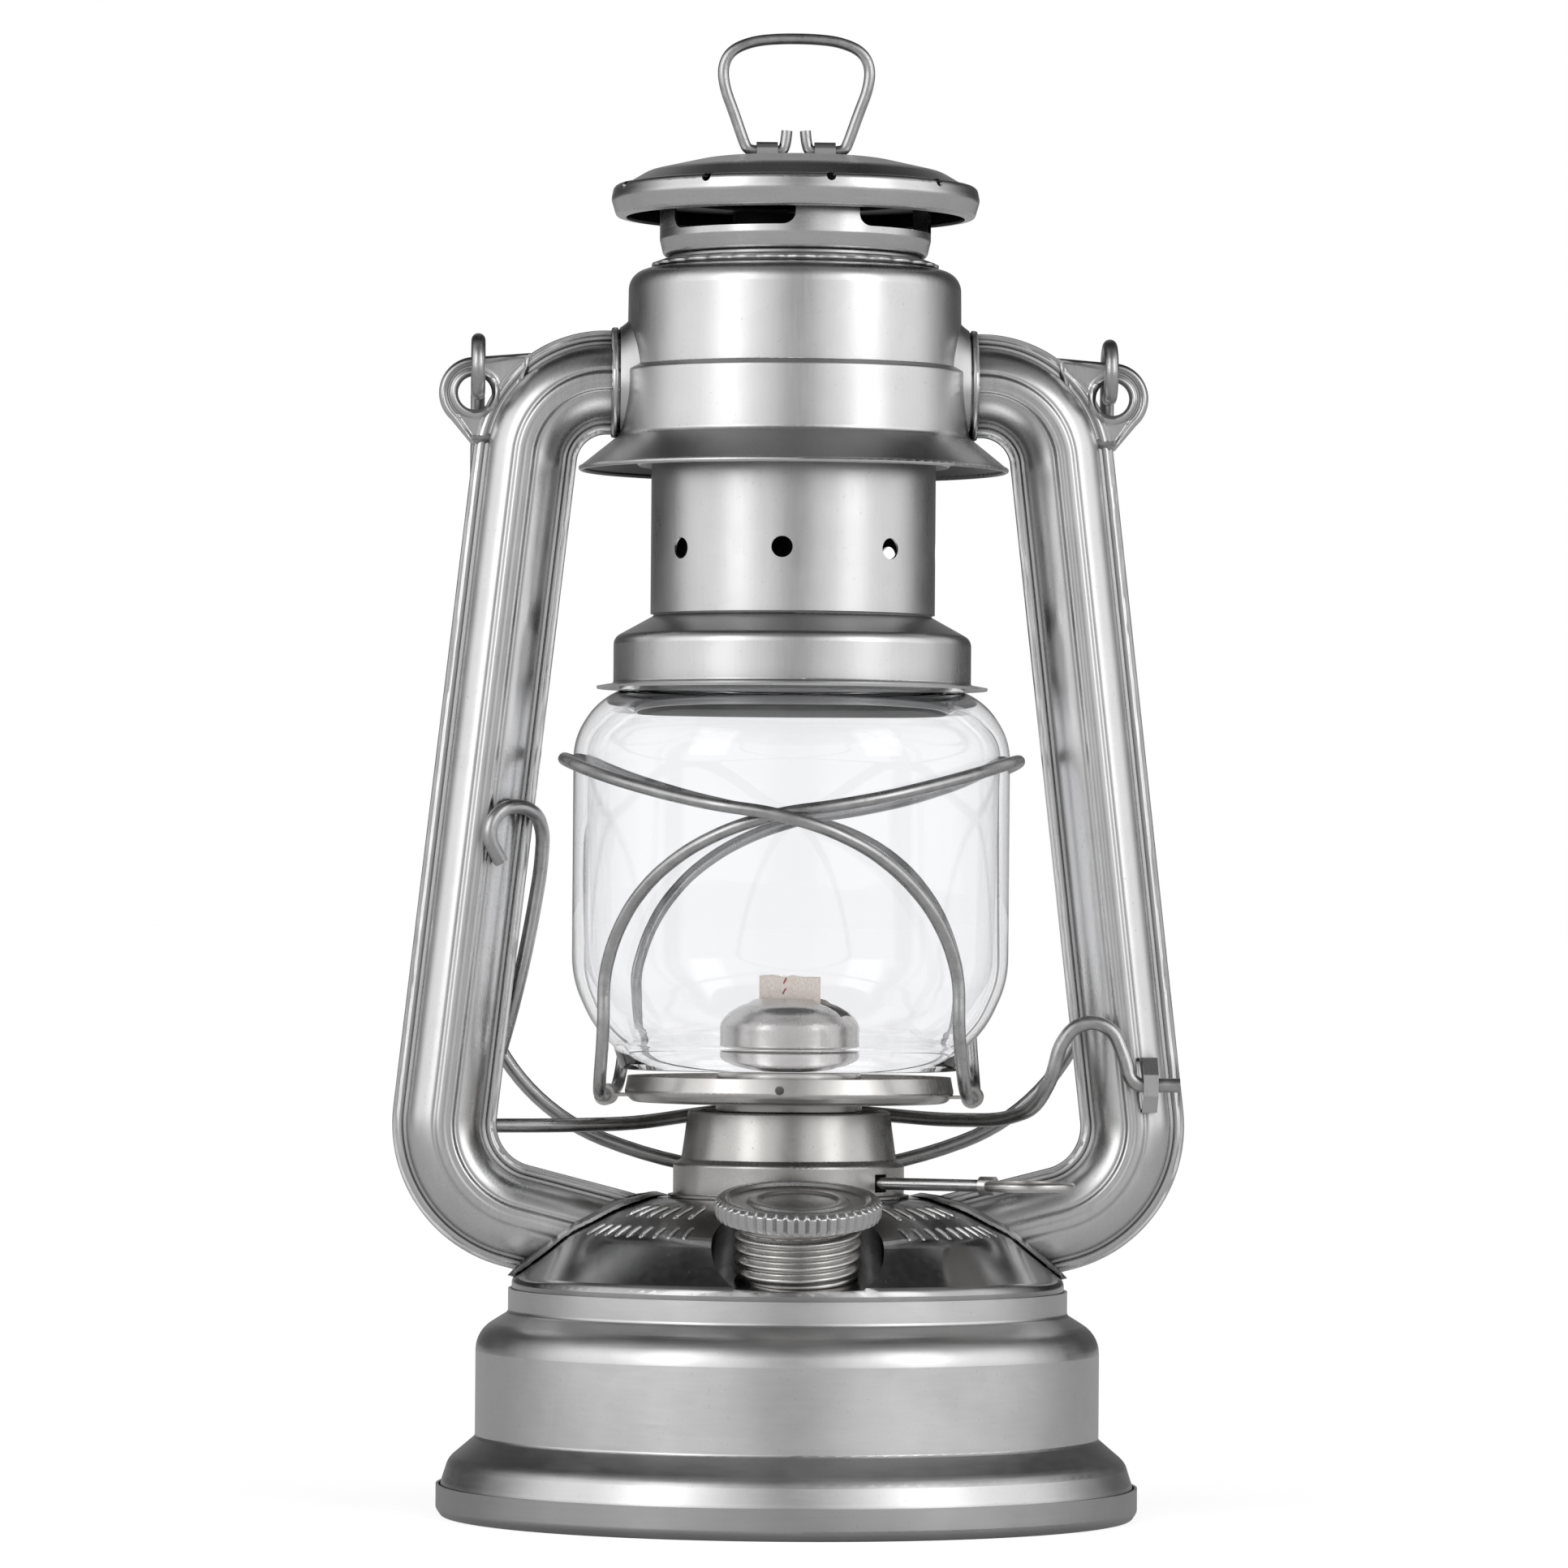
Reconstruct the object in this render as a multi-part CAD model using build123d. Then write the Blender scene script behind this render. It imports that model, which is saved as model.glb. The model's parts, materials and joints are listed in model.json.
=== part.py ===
"""Barn lantern: a small cold-blast hurricane lantern of pressed sheet steel, wire and glass.

Frame: origin at the centre of the foot's lower face, +Z up, -Y towards the filler cap (the front),
+X towards the wick winder. Millimetres. Every function makes one sub-part, and the table at the
end writes one STEP file for each.
"""
import math
import os

from build123d import *

# ---- driving dimensions -------------------------------------------------------------------------
SHEET = 0.5                 # sheet steel of the turned pressings
FLANGE = 0.8                # doubled seam of one half of a side tube
FIT = 0.15                  # gap of a lapped joint between two pressings
WIRE = 2.7                  # bail, lift lever and side hook wire
THIN_WIRE = 2.4             # globe guard and lift ring wire

# fount (the fuel tank)
FOOT_RADIUS = 66.45
BODY_RADIUS = 58.85         # middle of the sheet
NECK_RADIUS = 52.75
DOME_TOP = 60.1
DIVIDER_Z = 41.2

# filler
FILLER_Y = -40.0
FILLER_Z = 47.2
FILLER_LEAN = 10.9          # degrees, forwards
FILLER_THREAD_RADIUS = 11.8
FILLER_BORE = 9.4
FILLER_PITCH = 2.2
FILLER_THREADS = 5
FILLER_HEIGHT = 12.6
POCKET_RADIUS = 16.0
CAP_RADIUS = 15.5
CAP_RIM = 3.9
CAP_TOP = 14.9
CAP_KNURLS = 48

# burner
BURNER_TURN = -28.0         # degrees about Z: the wick's flat face looks a little to the right
COLLAR_RADIUS = 21.65
COLLAR_Z = 60.5
DECK_Z = 75.6
WICK_WIDTH = 13.0
WICK_THICKNESS = 2.0
WICK_TOP = 102.6
WICK_BOTTOM = 22.0
WICK_GAP = 0.2
WINDER_Z = 63.6
WINDER_RADIUS = 1.15
WINDER_LENGTH = 44.0
SPROCKET_RADIUS = 3.3
SPROCKET_TEETH = 10
KEY_RADIUS = 8.5
KEY_THICKNESS = 1.8

# globe and what carries it
PLATE_Z = 78.4
PLATE_TOP = 83.3
PLATE_RADIUS = 31.0
PLATE_HOLE = 15.0
CARRIER_TURN = -5.8         # degrees about Z: plate and guard sit a little askew
GLOBE_WALL = 2.2
GLOBE_RADIUS = 40.3         # middle of the wall
GUARD_RADIUS = 43.5
GUARD_OVERLAP = 2.5         # the right wire rides over the left one where they cross
GUARD_COURSE = [            # degrees from the front, and height, along the front of the left wire
    (-49.7, 92.0), (-49.7, 102.0), (-46.0, 109.0), (-40.0, 115.5), (-32.0, 121.3), (-22.0, 126.4),
    (-11.0, 130.2), (1.0, 132.9), (14.0, 134.2), (28.0, 136.1), (43.0, 138.6), (58.0, 140.9),
    (74.0, 142.8),
]
GUARD_TIP_Z = 143.5
GUARD_SEAT_X = -PLATE_RADIUS - 3.8
GUARD_SEAT_Z = PLATE_Z + 1.25

# canopy and side tubes
CANOPY_LOW_Z = 204.6
CANOPY_STEP_Z = 217.3
CANOPY_LID_Z = 236.6
CANOPY_LOW_RADIUS = 33.0
CANOPY_HIGH_RADIUS = 31.5
TUBE_RADIUS = 7.3
TUBE_WALL = 0.6
TUBE_FLANGE = 9.9           # seam flange's outer edge, from the tube's middle
TUBE_RIB = 1.75             # half the width of the pressed rib
TUBE_RIB_HEIGHT = 8.0
TUBE_LEAN = 6.5             # degrees that the legs spread
TUBE_HIGH = (35.6, 199.2)   # centres and radii of the two bends, in X and Z
TUBE_HIGH_RADIUS = 15.5
TUBE_LOW = (47.3, 74.1)
TUBE_LOW_RADIUS = 18.0
TUBE_FOOT_FALL = 14.5       # degrees below level where a tube enters the fount
EAR = (60.6, 212.5)         # centre of the bail hole
EAR_RADIUS = 6.8
EAR_HOLE = 3.2

# chimney, crown and cap
CHIMNEY_RADIUS = 26.75
SLEEVE_RADIUS = 23.5
BELL_RADIUS = 33.7
SPIGOT_RADIUS = 29.8
CROWN_RADIUS = 25.5
CROWN_TURN = 11.5
CAP_RIM_RADIUS = 34.75
HOOD_Z = 249.2

# wires
BAIL_PIVOT_Z = 217.5
BAIL_EYE = 5.0              # radius of the eye at the end of the bail
BAIL_HALF_WIDTH = 60.0
BAIL_DROP = 155.2
BAIL_LEAN = 7.1             # degrees behind vertical where it hangs
RING_PIVOT_Z = 259.0
LEVER_START = (-56.6, 3.0, 73.6)
LEVER_END = (70.3, -10.3, 82.3)     # the lever turns about the line from its start to this point
KEEPER_X = 67.8

PARTS_FOLDER = "parts"


# ---- helpers ------------------------------------------------------------------------------------
def turned(points, radii, thickness=SHEET):
    """A sheet pressing: the middle line of its section, given as (radius, height), turned about Z."""
    line = FilletPolyline(*points, radius=radii)
    return revolve(Plane.XZ * trace(line, thickness), Axis.Z)


def straight_ring(radius, low, high, thickness=SHEET):
    """A plain cylindrical band with its middle line at radius."""
    outer = Cylinder(radius + thickness / 2, high - low)
    inner = Cylinder(radius - thickness / 2, high - low)
    return Pos(0, 0, (low + high) / 2) * (outer - inner)


def solid_of_turn(points):
    """A solid of revolution about Z from a closed outline of (radius, height)."""
    return revolve(Plane.XZ * make_face(Polyline(*points, close=True)), Axis.Z)


def bend_radii(points, largest=1000.0):
    """Corner radii that leave short straights between tangent arcs."""
    vectors = [Vector(*point) for point in points]
    radii = []
    for before, here, after in zip(vectors, vectors[1:], vectors[2:]):
        turn = math.radians((here - before).get_angle(after - here))
        run = min((here - before).length, (after - here).length)
        radii.append(min(largest, 0.45 * run / math.tan(turn / 2)))
    return radii


def bent_wire(points, diameter, largest=1000.0):
    """A round wire along straight runs joined by tangent arcs."""
    path = FilletPolyline(*points, radius=bend_radii(points, largest))
    start = Plane(origin=path @ 0, z_dir=path % 0)
    return sweep(start * Circle(diameter / 2), path=path)


def on_circle(radius, degrees, height=0.0):
    """A point at an angle from the front, turning towards +X."""
    angle = math.radians(degrees)
    return (radius * math.sin(angle), -radius * math.cos(angle), height)


def filler_plane():
    lean = math.radians(FILLER_LEAN)
    return Plane(origin=(0, FILLER_Y, FILLER_Z), x_dir=(1, 0, 0), z_dir=(0, -math.sin(lean), math.cos(lean)))


# ---- fount --------------------------------------------------------------------------------------
def fount_bottom():
    rim = FOOT_RADIUS - SHEET / 2
    points = [(0, 4.0), (56.0, 4.0), (59.5, SHEET / 2), (rim - 0.9, SHEET / 2), (rim, 1.6), (rim, 6.0)]
    return turned(points, [2.0, 1.5, 0.6, 1.2])


def fount_body():
    points = [
        (65.4, 2.3),
        (65.3, 6.2),
        (63.9, 10.6),
        (BODY_RADIUS, 14.9),
        (BODY_RADIUS, 34.6),
        (NECK_RADIUS, 38.4),
        (NECK_RADIUS, 43.0),
    ]
    return turned(points, [4.0, 4.0, 1.0, 6.0, 1.2])


def fount_divider():
    """Plate that closes the fuel tank under the dome, which is an air chamber."""
    plate = Pos(0, 0, DIVIDER_Z) * Cylinder(NECK_RADIUS - 1.2, SHEET)
    wick = Pos(0, 0, DIVIDER_Z) * Rot(0, 0, BURNER_TURN) * Box(WICK_WIDTH + 3, WICK_THICKNESS + 3, 2)
    neck = filler_plane() * Cylinder(FILLER_BORE + 1.1, 30)
    return plate - wick - neck


def dome_line():
    skirt = NECK_RADIUS - SHEET - FIT
    return [(skirt, 41.8), (skirt, 44.8), (42.6, 53.3), (33.6, 57.8), (26.0, DOME_TOP), (17.5, DOME_TOP)]


DOME_BENDS = [2.0, 12.0, 25.0, 12.0]


def dome_fill(inset):
    """Everything under the dome's skin, drawn in by inset."""
    line = FilletPolyline(*dome_line(), radius=DOME_BENDS)
    edge = trace(line, 2 * abs(inset) + SHEET) if inset < 0 else None
    end = line @ 1
    start = line @ 0
    closing = Polyline((end.X, end.Y), (0, end.Y), (0, start.Y), (start.X, start.Y))
    core = make_face(line.edges() + closing.edges())
    face = core + edge if edge else core
    return revolve(Plane.XZ * face, Axis.Z)


def tube_air_holes():
    holes = []
    for side in (-1, 1):
        holes.append(Pos(side * 41, 0, 50) * Cylinder(4.5, 20))
    return holes


def fount_dome():
    """Dome with a round pocket pressed in for the filler, and an air hole under each side tube."""
    filler = filler_plane()
    skin = turned(dome_line(), DOME_BENDS)
    pocket = filler * Pos(0, 0, 15) * Cylinder(POCKET_RADIUS, 30)
    cup_outer = filler * Pos(0, 0, 15 - SHEET) * Cylinder(POCKET_RADIUS + SHEET, 30)
    cup = (cup_outer - pocket) & dome_fill(0)
    mouth = filler * Cylinder(FILLER_BORE + 1.1, 10)
    dome = (skin - pocket) + cup - mouth
    for hole in tube_air_holes():
        dome -= hole
    return dome


def filler_neck():
    """Neck with rolled threads; its tail goes down through the divider."""
    outline = [(FILLER_BORE, -7.5), (FILLER_BORE + 0.9, -7.5), (FILLER_BORE + 0.9, 0.05)]
    outline.append((FILLER_THREAD_RADIUS - 0.2, 0.05))
    step = FILLER_PITCH
    for turn in range(FILLER_THREADS):
        low = 0.4 + turn * step
        outline.append((FILLER_THREAD_RADIUS - 0.9, low))
        outline.append((FILLER_THREAD_RADIUS, low + 0.35 * step))
        outline.append((FILLER_THREAD_RADIUS, low + 0.65 * step))
    outline.append((FILLER_THREAD_RADIUS - 0.9, 0.4 + FILLER_THREADS * step))
    outline.append((FILLER_THREAD_RADIUS - 0.9, FILLER_HEIGHT))
    outline.append((FILLER_BORE, FILLER_HEIGHT))
    return filler_plane() * solid_of_turn(outline)


def filler_seal():
    ring = Cylinder(FILLER_THREAD_RADIUS - 0.2, 1.2) - Cylinder(FILLER_BORE - 0.6, 1.2)
    return filler_plane() * Pos(0, 0, FILLER_HEIGHT + 0.65) * ring


def filler_cap():
    """Screw cap with a knurled rim and a dished top."""
    low = CAP_TOP - CAP_RIM
    inside = FILLER_THREAD_RADIUS + 0.3
    roof = FILLER_HEIGHT + 1.35
    outline = [
        (inside, low),
        (CAP_RADIUS - 1.2, low),
        (CAP_RADIUS - 0.5, low + 0.5),
        (CAP_RADIUS - 0.5, CAP_TOP - 0.7),
        (CAP_RADIUS - 1.3, CAP_TOP),
        (CAP_RADIUS - 2.4, CAP_TOP),
        (CAP_RADIUS - 3.4, CAP_TOP - 0.5),
        (0, CAP_TOP - 0.3),
        (0, roof),
        (inside, roof),
    ]
    cap = solid_of_turn(outline)
    knurl = Pos(CAP_RADIUS - 0.5, 0, (low + CAP_TOP) / 2) * Box(1.0, 1.1, CAP_RIM - 1.4)
    for index in range(CAP_KNURLS):
        cap += Rot(0, 0, index * 360 / CAP_KNURLS) * knurl
    return filler_plane() * cap


# ---- burner -------------------------------------------------------------------------------------
def burner_turned(shape):
    return Rot(0, 0, BURNER_TURN) * shape


def burner_collar():
    low = COLLAR_Z
    points = [
        (COLLAR_RADIUS + 1.2, low + SHEET / 2),
        (COLLAR_RADIUS, low + SHEET / 2),
        (COLLAR_RADIUS, low + 6.2),
        (COLLAR_RADIUS - 1.5, low + 7.0),
        (18.9, DECK_Z + 1.1),
        (17.0, DECK_Z + 1.1),
    ]
    collar = turned(points, [0.5, 0.5, 0.5, 0.5])
    slot = Pos(COLLAR_RADIUS, -winder_offset(), WINDER_Z) * Box(8, 3.4, 3.4)
    return collar - burner_turned(slot)


def burner_deck():
    """Perforated plate that spreads the air under the burner cone."""
    deck = Pos(0, 0, DECK_Z) * Cylinder(18.2, SHEET)
    hole = Pos(16.2, 0, DECK_Z) * Cylinder(0.9, 2)
    for index in range(24):
        deck -= Rot(0, 0, index * 15) * hole
    return deck - burner_turned(Pos(0, 0, DECK_Z) * Box(WICK_WIDTH + 1.9, WICK_THICKNESS + 1.9, 2))


def wick_tube():
    """Flat tube that guides the wick, with a window for the sprockets."""
    low = 48.0
    high = 92.5
    wall = 0.4
    outer = Box(WICK_WIDTH + 2 * (WICK_GAP + wall), WICK_THICKNESS + 2 * (WICK_GAP + wall), high - low)
    inner = Box(WICK_WIDTH + 2 * WICK_GAP, WICK_THICKNESS + 2 * WICK_GAP, high - low)
    tube = Pos(0, 0, (low + high) / 2) * (outer - inner)
    window = Pos(0, -WICK_THICKNESS, WINDER_Z) * Box(WICK_WIDTH - 2, WICK_THICKNESS + 1.2, 2 * SPROCKET_RADIUS + 1)
    return burner_turned(tube - window)


def burner_cone():
    """Domed cone over the wick, with a flame slot and two small draught nicks at its waist."""
    low = DECK_Z + SHEET / 2 + 0.1
    points = [(13.65, low), (13.4, 83.6), (10.6, 87.0), (13.0, 89.0), (13.0, 92.6), (10.4, 96.3)]
    points += [(5.6, 97.75), (0, 97.75)]
    cone = turned(points, [1.2, 1.6, 1.2, 3.0, 5.5, 7.5])
    slot = Pos(0, 0, 96) * Box(23.6, 4.6, 12)
    nick = Box(5.0, 3.0, 2.2)
    for side in (-1, 1):
        slot += Pos(side * 12, 0, 87) * nick
    return cone - burner_turned(slot)


def wick():
    height = WICK_TOP - WICK_BOTTOM
    middle = (WICK_TOP + WICK_BOTTOM) / 2
    return burner_turned(Pos(0, 0, middle) * Box(WICK_WIDTH, WICK_THICKNESS, height))


def winder_offset():
    """Distance of the winder shaft in front of the middle of the wick."""
    return WICK_THICKNESS / 2 + 0.25 + SPROCKET_RADIUS


def along_winder(shape, distance):
    """Put a shape made about Z onto the shaft's line, at a distance from the burner's middle."""
    return burner_turned(Pos(distance, -winder_offset(), WINDER_Z) * Rot(0, 90, 0) * shape)


def winder_shaft():
    inner_end = -WICK_WIDTH / 2 - 1.0
    length = WINDER_LENGTH - inner_end
    return along_winder(Cylinder(WINDER_RADIUS, length), (WINDER_LENGTH + inner_end) / 2)


def winder_sprockets():
    """Star wheels that grip the wick, tight on the shaft."""
    disc = Cylinder(SPROCKET_RADIUS - 0.7, 0.8)
    tooth = Pos(SPROCKET_RADIUS - 0.75, 0, 0) * Box(1.3, 0.7, 0.8)
    for index in range(SPROCKET_TEETH):
        disc += Rot(0, 0, index * 360 / SPROCKET_TEETH) * tooth
    disc -= Cylinder(WINDER_RADIUS + 0.01, 2)
    wheels = [along_winder(disc, place) for place in (-4.0, 0.0, 4.0)]
    return Compound(children=wheels)


def winder_key():
    """Flat round key at the shaft's end, with a rounded edge and a dimpled middle."""
    half = KEY_THICKNESS / 2
    disc = fillet(Cylinder(KEY_RADIUS, KEY_THICKNESS).edges(), half * 0.8)
    dimple = Pos(0, 0, half) * Cylinder(KEY_RADIUS - 2.6, 0.7)
    disc = disc - dimple - Pos(0, 0, -KEY_THICKNESS) * dimple
    hub = Rot(0, 90, 0) * Pos(0, 0, -KEY_RADIUS) * Cylinder(WINDER_RADIUS + 0.6, 3)
    bore = Rot(0, 90, 0) * Pos(0, 0, -KEY_RADIUS - 2) * Cylinder(WINDER_RADIUS + 0.01, 5.0)
    key = disc + hub - bore
    reach = WINDER_LENGTH + KEY_RADIUS - 0.5
    return burner_turned(Pos(reach, -winder_offset(), WINDER_Z) * key)


# ---- globe, plate and guard ---------------------------------------------------------------------
def carrier_turned(shape):
    return Rot(0, 0, CARRIER_TURN) * shape


def globe_plate():
    """Dished plate that carries the globe, with a side lug for each guard wire."""
    half = SHEET / 2
    points = [
        (PLATE_HOLE + 0.3, PLATE_Z + 3.0),
        (PLATE_HOLE + 0.3, PLATE_Z + half),
        (PLATE_RADIUS - 1.4, PLATE_Z + half),
        (PLATE_RADIUS, PLATE_Z + 1.8),
        (PLATE_RADIUS - 0.6, PLATE_TOP),
    ]
    plate = turned(points, [0.8, 1.6, 1.0])
    lug = Pos(PLATE_RADIUS + 1.2, 0, PLATE_Z + 1.25) * Box(5.2, 9.0, 2 * half)
    wall = Pos(PLATE_RADIUS + 3.8, 0, PLATE_Z + 1.25)
    hook = wall * (Rot(90, 0, 0) * (Cylinder(2.0, 9.0) - Cylinder(THIN_WIRE / 2 + 0.05, 9.0)))
    for side in (0, 180):
        plate += Rot(0, 0, side) * lug
        plate -= Rot(0, 0, side) * wall * Rot(90, 0, 0) * Cylinder(1.7, 9.0)
        plate += Rot(0, 0, side) * hook
    vent = Pos(0, -PLATE_RADIUS, PLATE_Z + 2.9) * Rot(90, 0, 0) * Cylinder(0.85, 4)
    return carrier_turned(plate - vent)


def globe():
    points = [
        (31.7, 160.4),
        (31.7, 155.6),
        (36.1, 153.6),
        (GLOBE_RADIUS, 146.9),
        (GLOBE_RADIUS, 101.9),
        (36.2, 93.0),
        (32.3, 89.4),
        (31.1, 84.6),
    ]
    return turned(points, [1.0, 12.0, 12.0, 19.0, 19.0, 2.0], GLOBE_WALL)


def guard_reach(degrees, lift):
    """Distance of a guard wire from the axis: it steps out where it rides over the other wire."""
    near = max(0.0, 1.0 - (degrees / 26.0) ** 2)
    return GUARD_RADIUS + lift * min(1.0, 1.6 * near)


def guard_points(lift):
    """The left-hand wire: from its lug up the front, round the right side, and back down behind."""
    front = [on_circle(guard_reach(angle, lift), angle, height) for angle, height in GUARD_COURSE]
    seat = [(GUARD_SEAT_X, -0.15, GUARD_SEAT_Z), (GUARD_SEAT_X, -14.0, GUARD_SEAT_Z)]
    seat.append((GUARD_SEAT_X + 0.6, -25.0, GUARD_SEAT_Z + 1.6))
    tip = [(GUARD_RADIUS, 0.0, GUARD_TIP_Z)]
    half = seat + front
    back = [(x, -y, z) for x, y, z in reversed(half)]
    return half + tip + back


def guard_wire_left():
    return carrier_turned(bent_wire(guard_points(0.0), THIN_WIRE))


def guard_wire_right():
    points = [(-x, y, z) for x, y, z in guard_points(GUARD_OVERLAP)]
    return carrier_turned(bent_wire(points, THIN_WIRE))


# ---- side tubes ---------------------------------------------------------------------------------
def tube_path(inner_x=31.0):
    """Middle line of the right-hand tube, from the canopy down to the fount, in X and Z."""
    lean = math.radians(TUBE_LEAN)
    fall = math.radians(TUBE_FOOT_FALL)
    high_x, high_z = TUBE_HIGH
    low_x, low_z = TUBE_LOW
    start = (inner_x, 0, high_z + TUBE_HIGH_RADIUS)
    top = (high_x, 0, high_z + TUBE_HIGH_RADIUS)
    side = math.radians(45 + TUBE_LEAN / 2)
    high_middle = (high_x + TUBE_HIGH_RADIUS * math.cos(side), 0, high_z + TUBE_HIGH_RADIUS * math.sin(side))
    high_end_x = high_x + TUBE_HIGH_RADIUS * math.cos(lean)
    high_end = (high_end_x, 0, high_z + TUBE_HIGH_RADIUS * math.sin(lean))
    low_start = (low_x + TUBE_LOW_RADIUS * math.cos(lean), 0, low_z + TUBE_LOW_RADIUS * math.sin(lean))
    turn = (lean - (math.pi / 2 - fall)) / 2
    low_middle = (low_x + TUBE_LOW_RADIUS * math.cos(turn), 0, low_z + TUBE_LOW_RADIUS * math.sin(turn))
    low_end_x = low_x + TUBE_LOW_RADIUS * math.sin(fall)
    low_end_z = low_z - TUBE_LOW_RADIUS * math.cos(fall)
    end = (low_end_x - 26 * math.cos(fall), 0, low_end_z - 26 * math.sin(fall))
    edges = [
        Line(start, top),
        ThreePointArc(top, high_middle, high_end),
        Line(high_end, low_start),
        ThreePointArc(low_start, low_middle, (low_end_x, 0, low_end_z)),
        Line((low_end_x, 0, low_end_z), end),
    ]
    return Wire([edge.edge() for edge in edges])


def tube_outline(spare=0.0):
    """Outside of both halves together, with spare all round."""
    half = FLANGE + spare
    outline = Circle(TUBE_RADIUS + spare)
    outline += Rectangle(2 * (TUBE_FLANGE + spare), 2 * half)
    outline += Rectangle(2 * (TUBE_RIB + spare), 2 * (TUBE_RIB_HEIGHT + spare))
    return outline


def half_section(side):
    """One pressed half: a half round with a rib along its middle and a seam flange each side."""
    section = Circle(TUBE_RADIUS) + Rectangle(2 * TUBE_FLANGE, 2 * FLANGE)
    rib = RectangleRounded(2 * TUBE_RIB, 2 * TUBE_RIB_HEIGHT, 0.7)
    section = section + rib - Circle(TUBE_RADIUS - TUBE_WALL)
    keep = Pos(0, -side * 10) * Rectangle(40, 20)
    return section & keep


def swept_tube(section, inner_x=31.0):
    path = tube_path(inner_x)
    start = Plane(origin=path @ 0, x_dir=(0, 0, 1), z_dir=(1, 0, 0))
    return sweep(start * section, path=path)


def ear_plate(low, high):
    """Ear for the bail, pressed from the outer seam flange."""
    ear_x, ear_z = EAR
    corner = [(49.6, 220.2), (ear_x, ear_z + EAR_RADIUS), (ear_x + 5.5, ear_z - 3.9), (61.1, 202.6), (50.0, 205.0)]
    plate = make_face(Polyline(*corner, close=True)) + Pos(ear_x, ear_z) * Circle(EAR_RADIUS)
    plate -= Pos(ear_x, ear_z) * Circle(EAR_HOLE)
    plate -= Pos(*TUBE_HIGH) * Circle(TUBE_HIGH_RADIUS + TUBE_RADIUS)
    return Plane.XZ * Pos(0, 0, -high) * extrude(plate, high - low)


def ear_border(face_y, depth):
    """Raised ridge round the bail hole and along the ear's outer edge."""
    ear_x, ear_z = EAR
    ring = Pos(ear_x, ear_z) * (Circle(EAR_HOLE + 1.3) - Circle(EAR_HOLE))
    rim = Pos(ear_x, ear_z) * (Circle(EAR_RADIUS) - Circle(EAR_RADIUS - 1.1))
    low = min(face_y, face_y + depth)
    height = abs(depth)
    return Plane.XZ * Pos(0, 0, -(low + height)) * extrude(ring + rim, height)


def tube_half(mirror_side, y_side):
    """One half of one tube; y_side -1 is the front half."""
    half = swept_tube(half_section(y_side))
    layer = (-FLANGE, 0) if y_side < 0 else (0, FLANGE)
    half += ear_plate(*layer)
    half += ear_border(y_side * FLANGE, y_side * 0.45)
    half -= dome_fill(-0.05)
    half -= Pos(20, 0, TUBE_HIGH[1]) * Box(24, 40, 60)
    return mirrored(half.solids().sort_by(SortBy.VOLUME)[-1], mirror_side)


def mirrored(shape, side):
    return shape if side > 0 else mirror(shape, about=Plane.YZ)


def tube_ferrule(side):
    """Soldered ring where a tube enters the canopy."""
    middle_z = TUBE_HIGH[1] + TUBE_HIGH_RADIUS
    plane = Plane(origin=(33.6, 0, middle_z), x_dir=(0, 0, 1), z_dir=(1, 0, 0))
    outer = Ellipse(TUBE_FLANGE + 1.1, TUBE_RIB_HEIGHT + 1.2)
    ring = plane * extrude(outer - tube_outline(0.05), 1.8)
    inside = CANOPY_LOW_RADIUS + 0.3
    clear = solid_of_turn([(0, 198), (42, 198), (inside, 205.8), (inside, 240), (0, 240)])
    return mirrored(ring - clear, side)


def tube_foot(side):
    """Saddle flange that seats a tube on the dome."""
    saddle = swept_tube(Ellipse(TUBE_FLANGE + 1.6, TUBE_RIB_HEIGHT + 2.4))
    shell = dome_fill(-0.65) - dome_fill(-0.05)
    low_x, low_z = TUBE_LOW
    zone = Pos(40, 0, 53) * Box(30, 40, 24)
    foot = saddle & shell & zone
    foot -= swept_tube(tube_outline(0.05))
    return mirrored(foot, side)


def lever_keeper():
    """Bridge on the right tube's rib that holds the lift lever's end."""
    height = LEVER_END[2]
    outer = [(-5.5, height + 5.2), (-9.4, height + 5.2), (-12.5, height + 2.0)]
    outer += [(-12.5, height - 2.0), (-9.4, height - 5.2), (-5.5, height - 5.2)]
    inner = [(-5.5, height - 4.5), (-9.1, height - 4.5), (-11.9, height - 1.7)]
    inner += [(-11.9, height + 1.7), (-9.1, height + 4.5), (-5.5, height + 4.5)]
    profile = make_face(Polyline(*(outer + inner), close=True))
    bridge = Plane.YZ * Pos(0, 0, KEEPER_X - 1.4) * extrude(profile, 2.8)
    return bridge - swept_tube(tube_outline(0.0))


# ---- canopy -------------------------------------------------------------------------------------
def canopy():
    """Outer shell: flared skirt, two stepped cylinders and a domed shoulder with a neck."""
    points = [
        (40.2, 198.8),
        (CANOPY_LOW_RADIUS, CANOPY_LOW_Z),
        (CANOPY_LOW_RADIUS - 0.2, CANOPY_STEP_Z - 0.6),
        (CANOPY_HIGH_RADIUS, CANOPY_STEP_Z + 0.3),
        (CANOPY_HIGH_RADIUS - 0.2, CANOPY_LID_Z - 1.0),
        (24.45, CANOPY_LID_Z - 0.2),
        (24.45, CANOPY_LID_Z + 1.6),
    ]
    shell = turned(points, [1.5, 0.4, 0.4, 3.6, 0.4])
    hem = Pos(0, 0, 198.5) * Torus(40.35, 0.5)
    shell = shell + hem
    middle_z = TUBE_HIGH[1] + TUBE_HIGH_RADIUS
    plane = Plane(origin=(24, 0, middle_z), x_dir=(0, 0, 1), z_dir=(1, 0, 0))
    opening = plane * extrude(tube_outline(0.1), 16)
    return shell - opening - mirror(opening, about=Plane.YZ)


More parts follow.
